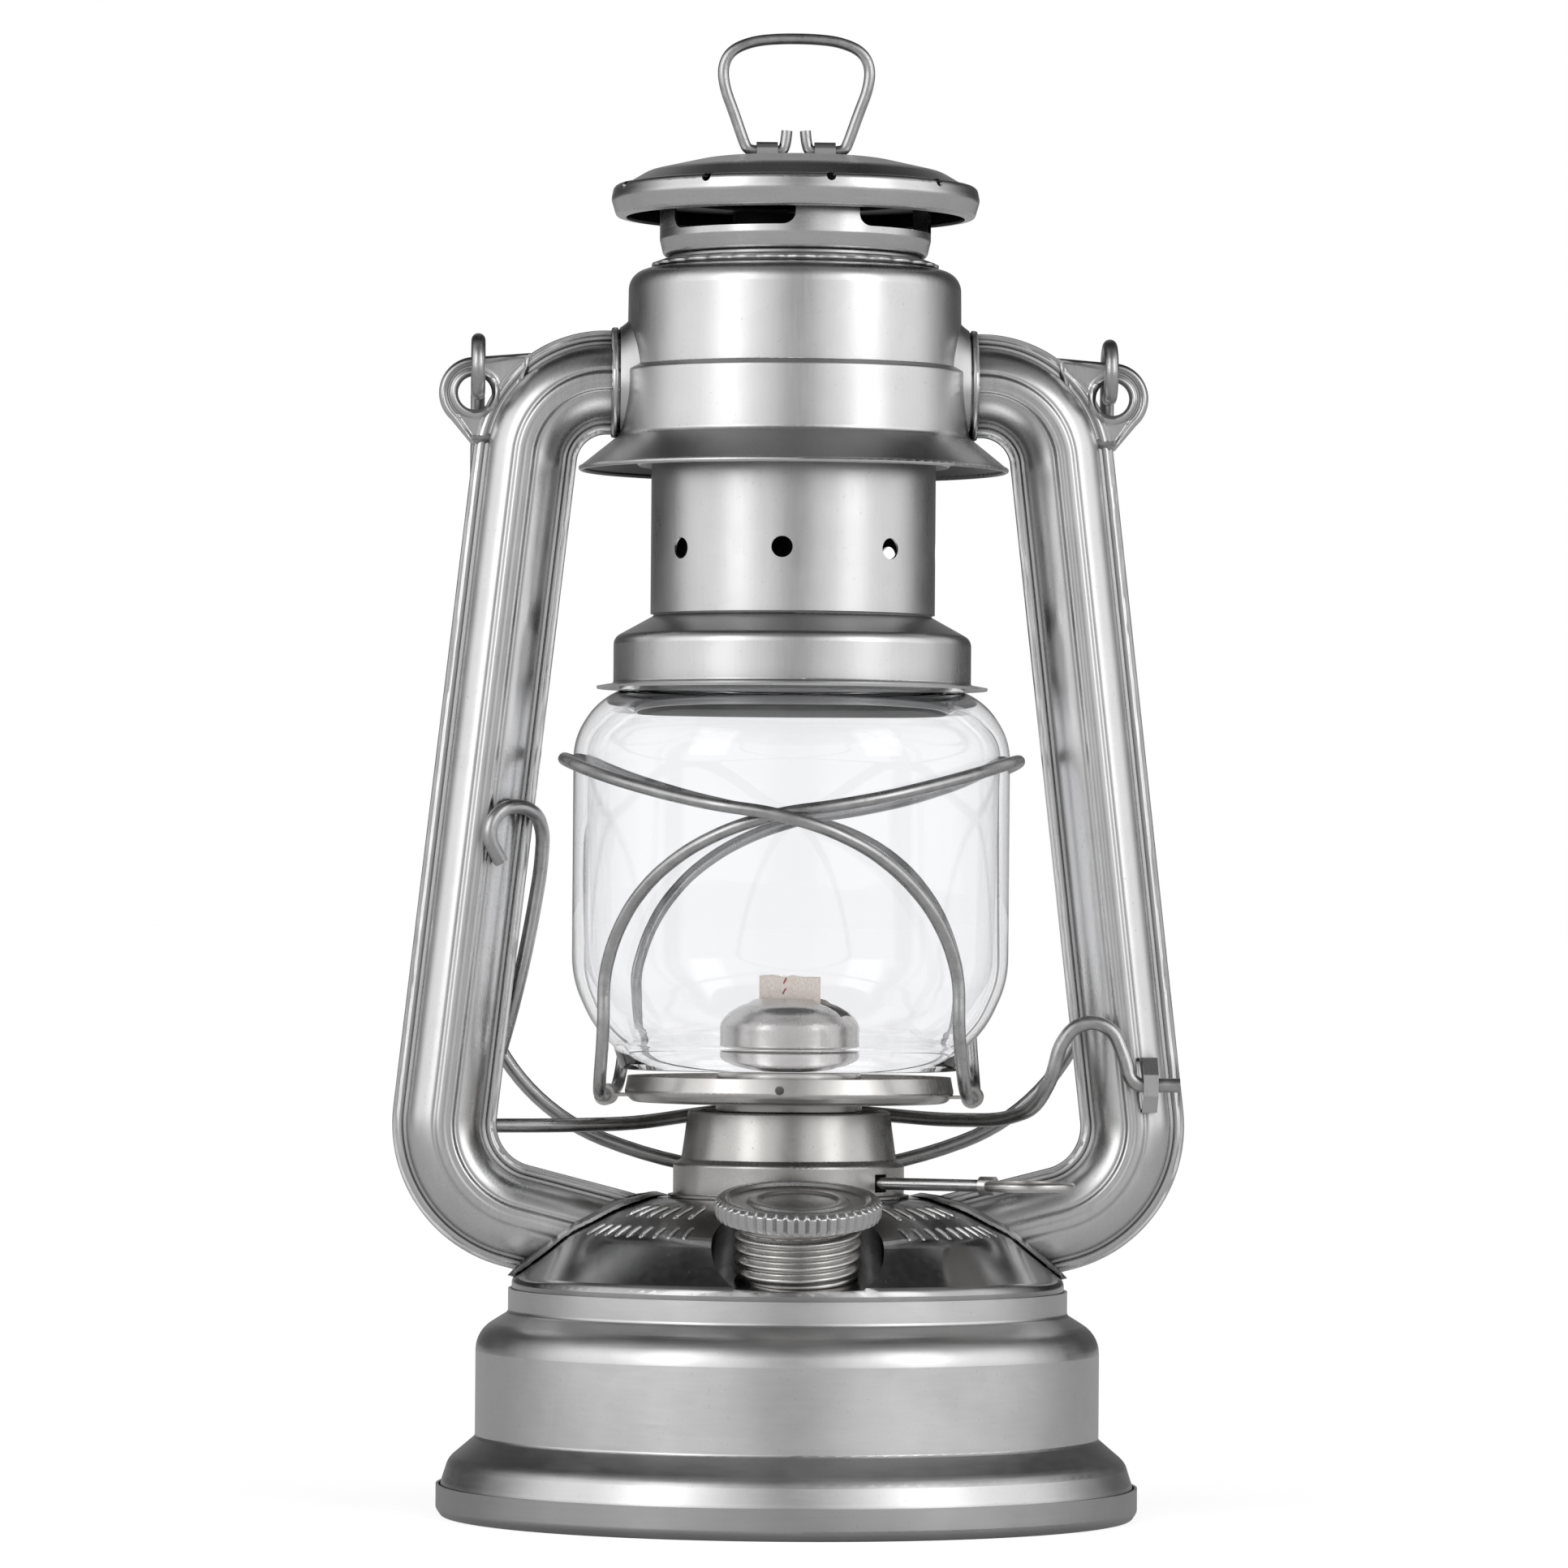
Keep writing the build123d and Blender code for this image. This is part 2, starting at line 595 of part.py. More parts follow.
def chimney_guide():
    """Sleeve that the chimney slides in, held to the canopy by four straps."""
    points = [(29.6, 199.2), (27.55, 200.6), (27.55, 205.5)]
    guide = turned(points, [1.0])
    strap = Pos(30.1, 0, 205.2) * Box(4.8, 6.0, SHEET)
    for index in range(4):
        guide += Rot(0, 0, 45 + index * 90) * strap
    return guide


# ---- chimney, crown and cap ---------------------------------------------------------------------
def chimney_tube():
    """Draught tube with a row of small holes, clear of the seam at the back, and a step up to the narrow sleeve."""
    points = [
        (CHIMNEY_RADIUS, 170.9),
        (CHIMNEY_RADIUS, 206.0),
        (SLEEVE_RADIUS, 207.6),
        (SLEEVE_RADIUS, 239.2),
    ]
    tube = turned(points, [0.6, 0.6])
    hole = Pos(*on_circle(CHIMNEY_RADIUS, 0, 182.8)) * Rot(90, 0, 0) * Cylinder(2.0, 6)
    for index in range(7):
        tube -= Rot(0, 0, -6.9 + (index - 3) * 47) * hole
    return tube


def chimney_bell():
    """Bell over the globe's mouth, with a brim on the globe's shoulder."""
    inner = CHIMNEY_RADIUS - SHEET - FIT
    points = [(inner, 173.5), (inner, 170.4), (BELL_RADIUS, 166.2), (BELL_RADIUS, 157.5), (37.1, 156.9)]
    return turned(points, [0.8, 2.0, 0.7])


def bell_spigot():
    """Inner ring under the bell that keeps the globe's mouth central."""
    return turned([(27.2, 169.15), (SPIGOT_RADIUS, 167.7), (SPIGOT_RADIUS, 153.2)], [1.0])


def crown():
    """Ring on the chimney's sleeve with four legs that carry the cap."""
    low = 238.95
    points = [(SLEEVE_RADIUS + 0.5, low), (CROWN_RADIUS - 0.7, low), (CROWN_RADIUS, low + 3.0), (CROWN_RADIUS, HOOD_Z)]
    shell = turned(points, [0.9, 1.0])
    window_width = 26.6
    window = Pos(0, -CROWN_RADIUS, low + 8.3) * Box(window_width, 10, 8.0)
    window = fillet(window.edges().filter_by(Axis.Y), 2.2)
    for index in range(4):
        shell -= Rot(0, 0, CROWN_TURN + 45 + index * 90) * window
    return shell


def cap_hood():
    """Domed cap with a barrel-shaped rolled rim and small vents along the crease."""
    points = [
        (0, 256.6),
        (9.0, 256.6),
        (12.0, 257.3),
        (18.0, 256.9),
        (28.0, 254.6),
        (32.4, 252.0),
        (CAP_RIM_RADIUS - 0.5, 252.0),
        (CAP_RIM_RADIUS, 249.6),
        (CAP_RIM_RADIUS - 0.9, 246.6),
        (CAP_RIM_RADIUS - 2.6, 246.4),
    ]
    hood = turned(points, [1.5, 3.0, 10.0, 6.0, 0.6, 1.0, 2.0, 0.6])
    vent = Pos(*on_circle(33.2, 0, 251.6)) * Rot(90, 0, 0) * Cylinder(0.9, 4)
    for index in range(9):
        hood -= Rot(0, 0, 8.6 + index * 40) * vent
    return hood


def cap_floor():
    """Plate under the hood that the crown's legs are soldered to."""
    plate = straight_ring(28.0, HOOD_Z + 0.02, HOOD_Z + 0.5, 12.0)
    spoke = Pos(0, -29.0, HOOD_Z + 0.26)
    for index in range(9):
        plate -= Rot(0, 0, index * 40) * spoke * Cylinder(2.2, 2)
    return plate


def ring_straps():
    """Two small bridges that hold the lift ring's ends to the cap."""
    straps = []
    radius = THIN_WIRE / 2 + 0.06
    profile = Circle(radius + SHEET) - Circle(radius)
    profile &= Pos(0, radius) * Rectangle(8, 2 * radius)
    for side in (-1, 1):
        profile_side = profile
        for foot in (-1, 1):
            profile_side += Pos(foot * (radius + SHEET / 2), -0.5) * Rectangle(SHEET, 1.2)
        bridge = Plane.YZ * Pos(0, 0, side * 5.5 - 2.0) * extrude(profile_side, 4.0)
        straps.append(Pos(0, 0, RING_PIVOT_Z) * bridge)
    return Compound(children=straps)


# ---- wires --------------------------------------------------------------------------------------
def lift_ring():
    """Carrying ring; its ends turn in through the straps and up."""
    half = [
        (1.9, 0, 262.6), (1.9, 0, RING_PIVOT_Z), (9.7, 0, RING_PIVOT_Z), (11.8, 0, 262.6), (13.9, 0, 270.0),
        (13.6, 0, 275.0), (11.0, 0, 278.6), (5.5, 0, 280.3),
    ]
    points = [(-x, y, z) for x, y, z in half] + [(x, y, z) for x, y, z in reversed(half)]
    return bent_wire(points, THIN_WIRE, 12.0)


def bail():
    """Carrying bail: an eye through each ear, straight arms, and a flattened arch."""
    big, corner = 95.0, 40.0
    across = BAIL_HALF_WIDTH - corner
    rise = math.sqrt((big - corner) ** 2 - across ** 2)
    foot = -BAIL_DROP
    corner_z = foot + big - rise
    angle = math.atan2(across, rise)
    meet = (big * math.sin(angle), foot + big - big * math.cos(angle))
    middle = angle + (math.pi / 2 - angle) / 2
    bend = (across + corner * math.sin(middle), corner_z - corner * math.cos(middle))
    eye = (Plane.YZ.offset(BAIL_HALF_WIDTH) * CenterArc((0, 0), BAIL_EYE, 288, -288)).edge()
    arm_top = (BAIL_HALF_WIDTH, BAIL_EYE, 0)
    arm_low = (BAIL_HALF_WIDTH, BAIL_EYE, corner_z)
    edges = [
        eye,
        Line(arm_top, arm_low).edge(),
        ThreePointArc(arm_low, (bend[0], BAIL_EYE, bend[1]), (meet[0], BAIL_EYE, meet[1])).edge(),
    ]
    half = edges + [ThreePointArc((meet[0], BAIL_EYE, meet[1]), (0, BAIL_EYE, foot), (-meet[0], BAIL_EYE, meet[1])).edge()]
    for edge in reversed(edges):
        half.append(mirror(edge, about=Plane.YZ).edge())
    path = Wire(half)
    start = Plane(origin=path @ 0, z_dir=path % 0)
    wire = sweep(start * Circle(WIRE / 2), path=path)
    return Pos(0, 0, BAIL_PIVOT_Z) * Rot(BAIL_LEAN, 0, 0) * wire


def lift_lever():
    """Cranked wire behind the burner: turning its loop forwards raises the globe plate."""
    points = [
        LEVER_START, (-44.0, 6.0, 73.6), (-29.0, 15.5, 73.8), (-17.0, 24.5, 75.4), (-7.0, 26.5, 76.7),
        (7.0, 26.5, 76.7), (19.0, 23.5, 75.6), (30.0, 15.0, 74.9), (40.5, 2.5, 75.2), (46.3, -6.0, 77.6),
        (49.4, -9.8, 84.0), (50.6, -10.3, 89.6), (53.2, -10.3, 93.2), (57.0, -10.3, 94.4),
        (60.8, -10.3, 92.6), (63.0, -10.3, 87.4), (64.2, -10.3, 82.3), (73.4, -10.3, 82.3),
    ]
    return bent_wire(points, WIRE)


def side_hook():
    """Wire hook sprung round the left tube's inner seam."""
    points = [
        (-55.0, -8.3, 123.6), (-57.3, -9.9, 127.6), (-57.0, -9.9, 131.2), (-54.6, -8.6, 133.8),
        (-51.0, -5.9, 134.2), (-48.2, -3.2, 132.6), (-47.0, 0.0, 129.0), (-47.4, 2.0, 122.2),
        (-48.8, 3.0, 113.6), (-50.6, 3.0, 104.2), (-52.8, 3.0, 95.0), (-54.9, 3.0, 87.4),
    ]
    return bent_wire(points, WIRE)


# ---- output -------------------------------------------------------------------------------------
def sub_parts():
    parts = {
        "fount_bottom": fount_bottom(),
        "fount_body": fount_body(),
        "fount_divider": fount_divider(),
        "fount_dome": fount_dome(),
        "filler_neck": filler_neck(),
        "filler_seal": filler_seal(),
        "filler_cap": filler_cap(),
        "burner_collar": burner_collar(),
        "burner_deck": burner_deck(),
        "burner_cone": burner_cone(),
        "wick_tube": wick_tube(),
        "wick": wick(),
        "winder_shaft": winder_shaft(),
        "winder_sprockets": winder_sprockets(),
        "winder_key": winder_key(),
        "globe_plate": globe_plate(),
        "globe": globe(),
        "guard_wire_left": guard_wire_left(),
        "guard_wire_right": guard_wire_right(),
        "canopy": canopy(),
        "chimney_guide": chimney_guide(),
        "chimney_tube": chimney_tube(),
        "chimney_bell": chimney_bell(),
        "bell_spigot": bell_spigot(),
        "crown": crown(),
        "cap_hood": cap_hood(),
        "cap_floor": cap_floor(),
        "ring_straps": ring_straps(),
        "lift_ring": lift_ring(),
        "bail": bail(),
        "lift_lever": lift_lever(),
        "lever_keeper": lever_keeper(),
        "side_hook": side_hook(),
    }
    for name, side in (("left", -1), ("right", 1)):
        parts[f"{name}_tube_front"] = tube_half(side, -1)
        parts[f"{name}_tube_back"] = tube_half(side, 1)
        parts[f"{name}_tube_ferrule"] = tube_ferrule(side)
        parts[f"{name}_tube_foot"] = tube_foot(side)
    return parts


os.makedirs(PARTS_FOLDER, exist_ok=True)
for node, shape in sub_parts().items():
    export_step(shape, f"{PARTS_FOLDER}/{node}.step")
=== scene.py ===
"""Looks of the barn lantern: galvanised sheet, zinc wire, clear glass and a woven wick.

The frame is the CAD model's. Shapes are written in millimetres and scaled to metres by MM.
Turned pieces are made by lathe(), strands by tube_along() and swept pieces by join_rings(), and
each material is a function. The studio and the camera come last.
"""
import json
import math

import bmesh
import bpy
from mathutils import Matrix, Vector, noise


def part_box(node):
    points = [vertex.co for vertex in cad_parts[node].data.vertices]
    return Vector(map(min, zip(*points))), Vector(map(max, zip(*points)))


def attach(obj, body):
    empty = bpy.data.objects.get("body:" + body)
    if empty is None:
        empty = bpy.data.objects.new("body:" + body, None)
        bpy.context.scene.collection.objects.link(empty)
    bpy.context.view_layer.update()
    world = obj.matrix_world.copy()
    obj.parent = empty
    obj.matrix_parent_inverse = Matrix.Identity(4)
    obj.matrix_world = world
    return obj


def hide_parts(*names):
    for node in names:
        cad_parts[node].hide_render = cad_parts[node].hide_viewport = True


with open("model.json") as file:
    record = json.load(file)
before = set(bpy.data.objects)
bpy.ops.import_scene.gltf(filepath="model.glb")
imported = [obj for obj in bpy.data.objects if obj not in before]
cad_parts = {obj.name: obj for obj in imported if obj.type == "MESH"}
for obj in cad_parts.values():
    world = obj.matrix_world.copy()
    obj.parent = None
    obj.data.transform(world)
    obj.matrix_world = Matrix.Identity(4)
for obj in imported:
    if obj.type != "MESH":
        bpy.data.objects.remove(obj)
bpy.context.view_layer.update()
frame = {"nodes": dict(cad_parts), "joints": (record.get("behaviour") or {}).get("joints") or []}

# ---- driving dimensions, in millimetres and degrees ---------------------------------------------
MM = 0.001
JOINTS = {joint["name"]: joint for joint in frame["joints"]}
CAP_JOINT = JOINTS["cap_turn"]
WINDER_AXIS = Vector(JOINTS["winder_turn"]["axis"])
BURNER_TURN = math.atan2(WINDER_AXIS.y, WINDER_AXIS.x)

SHEET = 0.5
# the fount's dome: corners of its section as (radius, height), and the bend at each inner corner
DOME_LINE = [(52.1, 41.8), (52.1, 44.8), (42.6, 53.3), (33.6, 57.8), (26.0, 60.1), (17.5, 60.1)]
DOME_BENDS = [2.0, 12.0, 25.0, 12.0]

# middle of the globe's glass from its top to its foot, as (radius, height)
GLOBE_LINE = [
    (31.7, 160.4), (31.7, 155.6), (36.1, 153.6), (40.3, 146.9), (40.3, 101.9), (36.2, 93.0),
    (32.3, 89.4), (31.1, 84.6),
]
GLOBE_BENDS = [1.0, 12.0, 12.0, 19.0, 19.0, 2.0]
GLOBE_WALL = 2.2
GLOBE_WAVE = 0.07
GLOBE_LIP = 0.45
GLOBE_EDGE = 0.55
GLOBE_WAVY_FROM = 88.0
GLOBE_WAVY_TO = 156.0

# filler neck and cap, measured along the filler's own leaning axis
THREAD_CREST = 11.75
THREAD_DEPTH = 0.85
THREAD_PITCH = 2.2
THREAD_TOP = 11.6
NECK_TOP = 12.6
NECK_TAIL = -7.5
NECK_BORE = 9.4
NECK_SEGMENTS = 160
NECK_ROWS = 110

CAP_LOW = 11.0
CAP_TOP = 14.9
CAP_RADIUS = 15.5
CAP_KNURLS = 48
CAP_INSIDE = 12.1
CAP_ROOF = 13.95
KNURL_DEPTH = 0.5

# rows of pressed ribs: radius of the ends, width, count, first and last azimuth
DOME_RIBS = [(29.6, 35.4, 1.1, 6, 34.0, 62.0), (38.2, 42.2, 0.85, 9, 30.0, 66.0)]
DOME_RIB_RISE = 0.62
DOME_RIB_SUNK = 0.12
DOME_RIB_DEPTH = 0.3

# the wick, its slanting marker stitches and the loose fibres at its cut
WICK_WIDTH = 12.6
WICK_THICKNESS = 1.75
WICK_WARPS = 15
WICK_END_STEPS = 8
WOVEN_FROM = 84.0
WOVEN_ROWS = 78
PLAIN_ROWS = 20
PICK_PITCH = 0.55
WARP_BULGE = 0.10
STITCHES = 4
STITCH_PITCH = 2.1
STITCH_RADIUS = 0.17
FIBRES = 26
FIBRE_RADIUS = 0.07
FIBRE_DEPTH_LIMIT = 0.9

# side tubes: the section, and the bends of the middle line with their centres as (x, z)
TUBE_RADIUS = 7.3
TUBE_WALL = 0.6
TUBE_FLANGE = 9.87
TUBE_RIB = 1.75
TUBE_LEAN = 6.5
TUBE_HIGH = (35.6, 199.2)
TUBE_HIGH_RADIUS = 15.5
TUBE_LOW = (47.3, 74.1)
TUBE_LOW_RADIUS = 18.0
TUBE_FOOT_FALL = 14.5
TUBE_START_X = 32.0
TUBE_BEND_STEPS = 28
TUBE_STRAIGHT_STEPS = 72
TUBE_ROUND_STEPS = 84
TUBE_HALF_SWEEP = 86.0
TUBE_INSIDE_STEPS = 24
SLIDE_STEP = 0.25
SLIDE_LIMIT = 45.0
SEAM_FACE = 0.02
SEAM_CRIMP = 0.34
SEAM_WOBBLE = 0.12
RIB_RISE = 0.42
RIB_SLOPE = 0.45
RIB_GROOVE = 0.2
RIB_CREASE = 0.12

FERRULE_X = 33.5
# stations from the canopy outwards: distance along X, share of the way to the lip, flare of the lip
FERRULE_PROFILE = [
    (-3.9, 0.02, 1.0), (-3.9, 1.0, 1.32), (-2.6, 1.0, 1.19), (-1.5, 1.0, 1.08), (-0.7, 1.0, 1.02),
    (-0.35, 0.95, 1.0), (-0.2, 0.45, 1.0), (0.0, 0.45, 1.0), (0.08, 0.9, 1.0), (0.35, 1.0, 1.0),
    (0.8, 1.0, 1.0), (1.15, 0.8, 1.0), (1.3, 0.4, 1.0), (1.3, 0.02, 1.0),
]
FERRULE_HALF_HEIGHT = 10.5
FERRULE_HALF_DEPTH = 8.9
FOOT_HALF_LENGTH = 11.3
FOOT_HALF_WIDTH = 10.0

# ears that hold the bail, as (x, z) on the right-hand side
EAR = (60.6, 212.5)
EAR_RADIUS = 6.8
EAR_HOLE = 3.2
EAR_OUTLINE = [(49.6, 220.2), (60.6, 219.3), (66.1, 208.6), (61.1, 202.6), (54.0, 203.5), (52.0, 210.0)]
EAR_SPOKES = 120
EAR_STEPS = 26
EAR_FACE = 0.72
EAR_RIM_RISE = 0.55
EAR_RIM_INSET = 0.75
EAR_WEB_SUNK = 0.25
EAR_WEB_INSET = 1.6

# scallops where the canopy's neck is crimped on
CRIMPS = 30
CRIMP_DEPTH = 0.75
CRIMP_FROM = 26.0
CRIMP_OUTLINE = [(24.9, 236.9), (27.3, 236.75), (27.35, 237.35), (25.2, 238.1), (24.9, 238.1)]
CRIMP_BENDS = [0.2, 0.25, 0.5]

RING_WIRE = 2.1
# half of the lift ring, from its turned-up end to the top: (across, above the pivot)
RING_HALF = [
    (1.75, 3.9), (1.85, 2.6), (2.1, 1.1), (2.5, 0.1), (4.2, 0.0), (7.6, 0.0), (9.3, 0.3), (10.1, 2.2),
    (11.9, 7.4), (13.6, 11.8), (14.1, 15.9), (12.5, 19.1), (8.4, 20.85), (3.4, 21.4),
]

# brightness of the surroundings: turn from the camera (0) to behind the lantern (1), and
# height from level (0) to overhead (1)
ROOM_ROUND = [
    (0.0, 0.22), (0.03, 0.3), (0.11, 0.92), (0.2, 0.98), (0.5, 0.95), (0.63, 0.3), (0.74, 0.03),
    (0.9, 0.06), (0.95, 0.22), (1.0, 0.3),
]
ROOM_ABOVE = [(0.0, 1.0), (0.3, 0.95), (0.5, 0.3), (0.75, 0.12), (1.0, 0.16)]
ROOM_LEVEL = 1.3

# floor, lamps and camera, in metres and degrees
FLOOR_HALF = 30.0
FLOOR_MIRRORED = 0.2
FLOOR_SEEN = 0.72
LAMP_POWER = 4.0
LAMP_SIZE = (0.7, 1.4)
LAMP_AIM = (0, 0, 0.13)

CAMERA_DISTANCE = 1.62
CAMERA_HEIGHT = 0.117
CAMERA_AZIMUTH = -2.5
CAMERA_AIM = (-0.0014, 0.0, 0.1388)
CAMERA_LENS = 196.0
CAMERA_ROLL = 0.42


# ---- node graphs --------------------------------------------------------------------------------
class Graph:
    """A short way to write a node tree: every call adds a node and returns its output."""

    def __init__(self, tree):
        self.tree = tree
        tree.nodes.clear()

    def add(self, kind, inputs=None, output=0, **settings):
        node = self.tree.nodes.new(kind)
        for key, value in settings.items():
            setattr(node, key, value)
        for key, value in (inputs or {}).items():
            socket = node.inputs[key]
            if isinstance(value, bpy.types.NodeSocket):
                self.tree.links.new(value, socket)
            else:
                socket.default_value = value
        return node.outputs[output] if node.outputs else node

    def math(self, operation, first, second=0.0):
        return self.add("ShaderNodeMath", {0: first, 1: second}, operation=operation)

    def position(self):
        """Place in the piece's own coordinates, which are the frame's, in millimetres."""
        place = self.add("ShaderNodeTexCoord", output="Object")
        return self.add("ShaderNodeVectorMath", {0: place, "Scale": 1 / MM}, operation="SCALE")

    def stretched(self, vector, factors):
        return self.add("ShaderNodeVectorMath", {0: vector, 1: factors}, operation="MULTIPLY")

    def noise(self, vector, scale, detail=2.0, roughness=0.5):
        inputs = {"Vector": vector, "Scale": scale, "Detail": detail, "Roughness": roughness}
        return self.add("ShaderNodeTexNoise", inputs)

    def remap(self, value, low, high, to_low, to_high):
        inputs = {"Value": value, "From Min": low, "From Max": high, "To Min": to_low, "To Max": to_high}
        return self.add("ShaderNodeMapRange", inputs)

    def mix(self, factor, first, second):
        node = self.tree.nodes.new("ShaderNodeMix")
        node.data_type = "RGBA"
        for socket, value in ((node.inputs[0], factor), (node.inputs[6], first), (node.inputs[7], second)):
            if isinstance(value, bpy.types.NodeSocket):
                self.tree.links.new(value, socket)
            else:
                socket.default_value = value
        return node.outputs[2]

    def bump(self, height, strength, distance, normal=None):
        inputs = {"Height": height, "Strength": strength, "Distance": distance}
        if normal is not None:
            inputs["Normal"] = normal
        return self.add("ShaderNodeBump", inputs)

    def surface(self, inputs):
        shader = self.add("ShaderNodeBsdfPrincipled", inputs)
        self.add("ShaderNodeOutputMaterial", {"Surface": shader})


def material(name):
    made = bpy.data.materials.new(name)
    made.use_nodes = True
    return made, Graph(made.node_tree)


def grey(value, warmth=0.0):
    return (value * (1 + warmth), value, value * (1 - warmth), 1.0)


# ---- materials ----------------------------------------------------------------------------------
def facing_inwards(g, place):
    """1 on a surface that faces the lantern's own axis, and -1 on one that faces away from it."""
    level = g.stretched(place, (1.0, 1.0, 0.0))
    spoke = g.add("ShaderNodeVectorMath", {0: level}, operation="NORMALIZE")
    geometry = g.tree.nodes.new("ShaderNodeNewGeometry")
    pair = {0: spoke, 1: geometry.outputs["True Normal"]}
    outwards = g.add("ShaderNodeVectorMath", pair, output="Value", operation="DOT_PRODUCT")
    return g.math("MULTIPLY", outwards, -1.0)


def sheet_metal(name, tone, rough, grain, warmth=0.0, crease_shade=0.35, ripple=0.5, inward_shade=0.0):
    """Galvanised sheet: streaks along the draw, faint spangle, specks, painted shade in folds and painted
    shade on faces that look inwards.
    """
    made, g = material(name)
    place = g.position()
    streak = g.noise(g.stretched(place, grain), 1.0, 4.0, 0.6)
    bloom = g.noise(place, 0.045, 3.0, 0.55)
    inputs = {"Vector": place, "Scale": 0.22, "Randomness": 1.0}
    spangle = g.add("ShaderNodeTexVoronoi", inputs, output="Color", feature="F1")
    spangle = g.add("ShaderNodeSeparateColor", {"Color": spangle})
    specks = g.remap(g.noise(place, 1.7, 2.0, 0.7), 0.66, 0.76, 0.0, 1.0)
    # Painted shade: ambient occlusion darkens the sheet in folds, creases and where parts meet.
    closeness = g.add("ShaderNodeAmbientOcclusion", {"Distance": 3.2 * MM}, output="AO", samples=6)
    fold = g.remap(closeness, 0.25, 0.9, crease_shade, 0.0)

    value = g.remap(streak, 0.25, 0.75, 0.97, 1.03)
    value = g.math("MULTIPLY", value, g.remap(bloom, 0.3, 0.7, 0.93, 1.05))
    value = g.math("MULTIPLY", value, g.remap(spangle, 0.0, 1.0, 0.985, 1.015))
    value = g.math("MULTIPLY", value, g.math("SUBTRACT", 1.0, g.math("MULTIPLY", specks, 0.22)))
    value = g.math("MULTIPLY", value, g.math("SUBTRACT", 1.0, fold))
    # Painted shade: faces that look in towards the lantern's axis are darkened.
    if inward_shade:
        painted_inward_shade = g.remap(facing_inwards(g, place), 0.0, 0.5, 1.0, 1.0 - inward_shade)
        value = g.math("MULTIPLY", value, painted_inward_shade)
    colour = g.add("ShaderNodeVectorMath", {0: grey(tone, warmth)[:3], "Scale": value}, operation="SCALE")

    roughness = g.math("ADD", g.remap(streak, 0.2, 0.8, rough - 0.03, rough + 0.04),
                       g.remap(bloom, 0.3, 0.7, -0.03, 0.05))
    roughness = g.math("ADD", roughness, g.math("MULTIPLY", specks, 0.12))
    fine = g.bump(streak, 0.1, 0.03 * MM)
    waves = g.bump(g.noise(place, 0.09, 1.0), ripple, 0.09 * MM, fine)
    g.surface({"Base Color": colour, "Metallic": 1.0, "Roughness": roughness, "Normal": waves})
    return made


def wire_metal(name, tone, rough):
    """Zinc-coated wire: drawn lengthwise, with small nicks, duller patches and painted shade near other
    parts.
    """
    made, g = material(name)
    place = g.position()
    patch = g.noise(place, 0.35, 3.0, 0.6)
    nicks = g.remap(g.noise(place, 2.4, 3.0, 0.7), 0.60, 0.74, 0.0, 1.0)
    # Painted shade: ambient occlusion darkens the wire where it runs close to other parts.
    closeness = g.add("ShaderNodeAmbientOcclusion", {"Distance": 2.2 * MM}, output="AO", samples=6)
    value = g.remap(patch, 0.3, 0.7, 0.86, 1.1)
    value = g.math("MULTIPLY", value, g.math("SUBTRACT", 1.0, g.math("MULTIPLY", nicks, 0.3)))
    value = g.math("MULTIPLY", value, g.remap(closeness, 0.3, 0.95, 0.6, 1.0))
    colour = g.add("ShaderNodeVectorMath", {0: grey(tone)[:3], "Scale": value}, operation="SCALE")
    roughness = g.math("ADD", g.remap(patch, 0.3, 0.7, rough - 0.06, rough + 0.08),
                       g.math("MULTIPLY", nicks, 0.15))
    rough_bump = g.bump(nicks, 0.25, 0.04 * MM)
    g.surface({"Base Color": colour, "Metallic": 1.0, "Roughness": roughness, "Normal": rough_bump})
    return made


def clear_glass():
    made, g = material("globe_glass")
    place = g.position()
    wave = g.noise(g.stretched(place, (0.05, 0.05, 0.02)), 1.0, 1.0)
    normal = g.bump(wave, 0.25, 0.3 * MM)
    smears = g.remap(g.noise(place, 0.12, 3.0, 0.6), 0.35, 0.8, 0.0, 0.035)
    g.surface({
        "Base Color": (0.955, 0.957, 0.968, 1.0),
        "Transmission Weight": 1.0,
        "IOR": 1.48,
        "Roughness": smears,
        "Normal": normal,
    })
    return made


def wick_cotton():
    made, g = material("wick_cotton")
    place = g.position()
    fibre = g.noise(g.stretched(place, (7.0, 7.0, 1.6)), 1.0, 4.0, 0.7)
    patch = g.noise(place, 0.5, 2.0)
    colour = g.mix(g.remap(fibre, 0.3, 0.7, 0.0, 1.0), (0.60, 0.48, 0.40, 1), (1.0, 0.95, 0.88, 1))
    colour = g.mix(g.remap(patch, 0.35, 0.75, 0.0, 0.35), colour, (0.90, 0.72, 0.66, 1))
    normal = g.bump(fibre, 0.7, 0.15 * MM)
    # The emission makes the cotton glow a little: painted light, since the wick is no lamp.
    g.surface({"Base Color": colour, "Roughness": 0.95, "Normal": normal, "Sheen Weight": 0.25,
               "Emission Color": (1.0, 0.93, 0.86, 1.0), "Emission Strength": 0.16})
    return made


def red_yarn():
    made, g = material("red_yarn")
    twist = g.noise(g.stretched(g.position(), (6.0, 6.0, 6.0)), 1.0, 3.0)
    colour = g.mix(g.remap(twist, 0.3, 0.7, 0.0, 1.0), (0.28, 0.02, 0.035, 1), (0.55, 0.07, 0.08, 1))
    g.surface({"Base Color": colour, "Roughness": 0.9})
    return made


def seal_rubber():
    made, g = material("seal_rubber")
    grain = g.noise(g.position(), 1.5, 3.0)
    colour = g.mix(grain, (0.02, 0.02, 0.018, 1), (0.05, 0.05, 0.045, 1))
    g.surface({"Base Color": colour, "Roughness": g.remap(grain, 0.3, 0.7, 0.6, 0.8)})
    return made


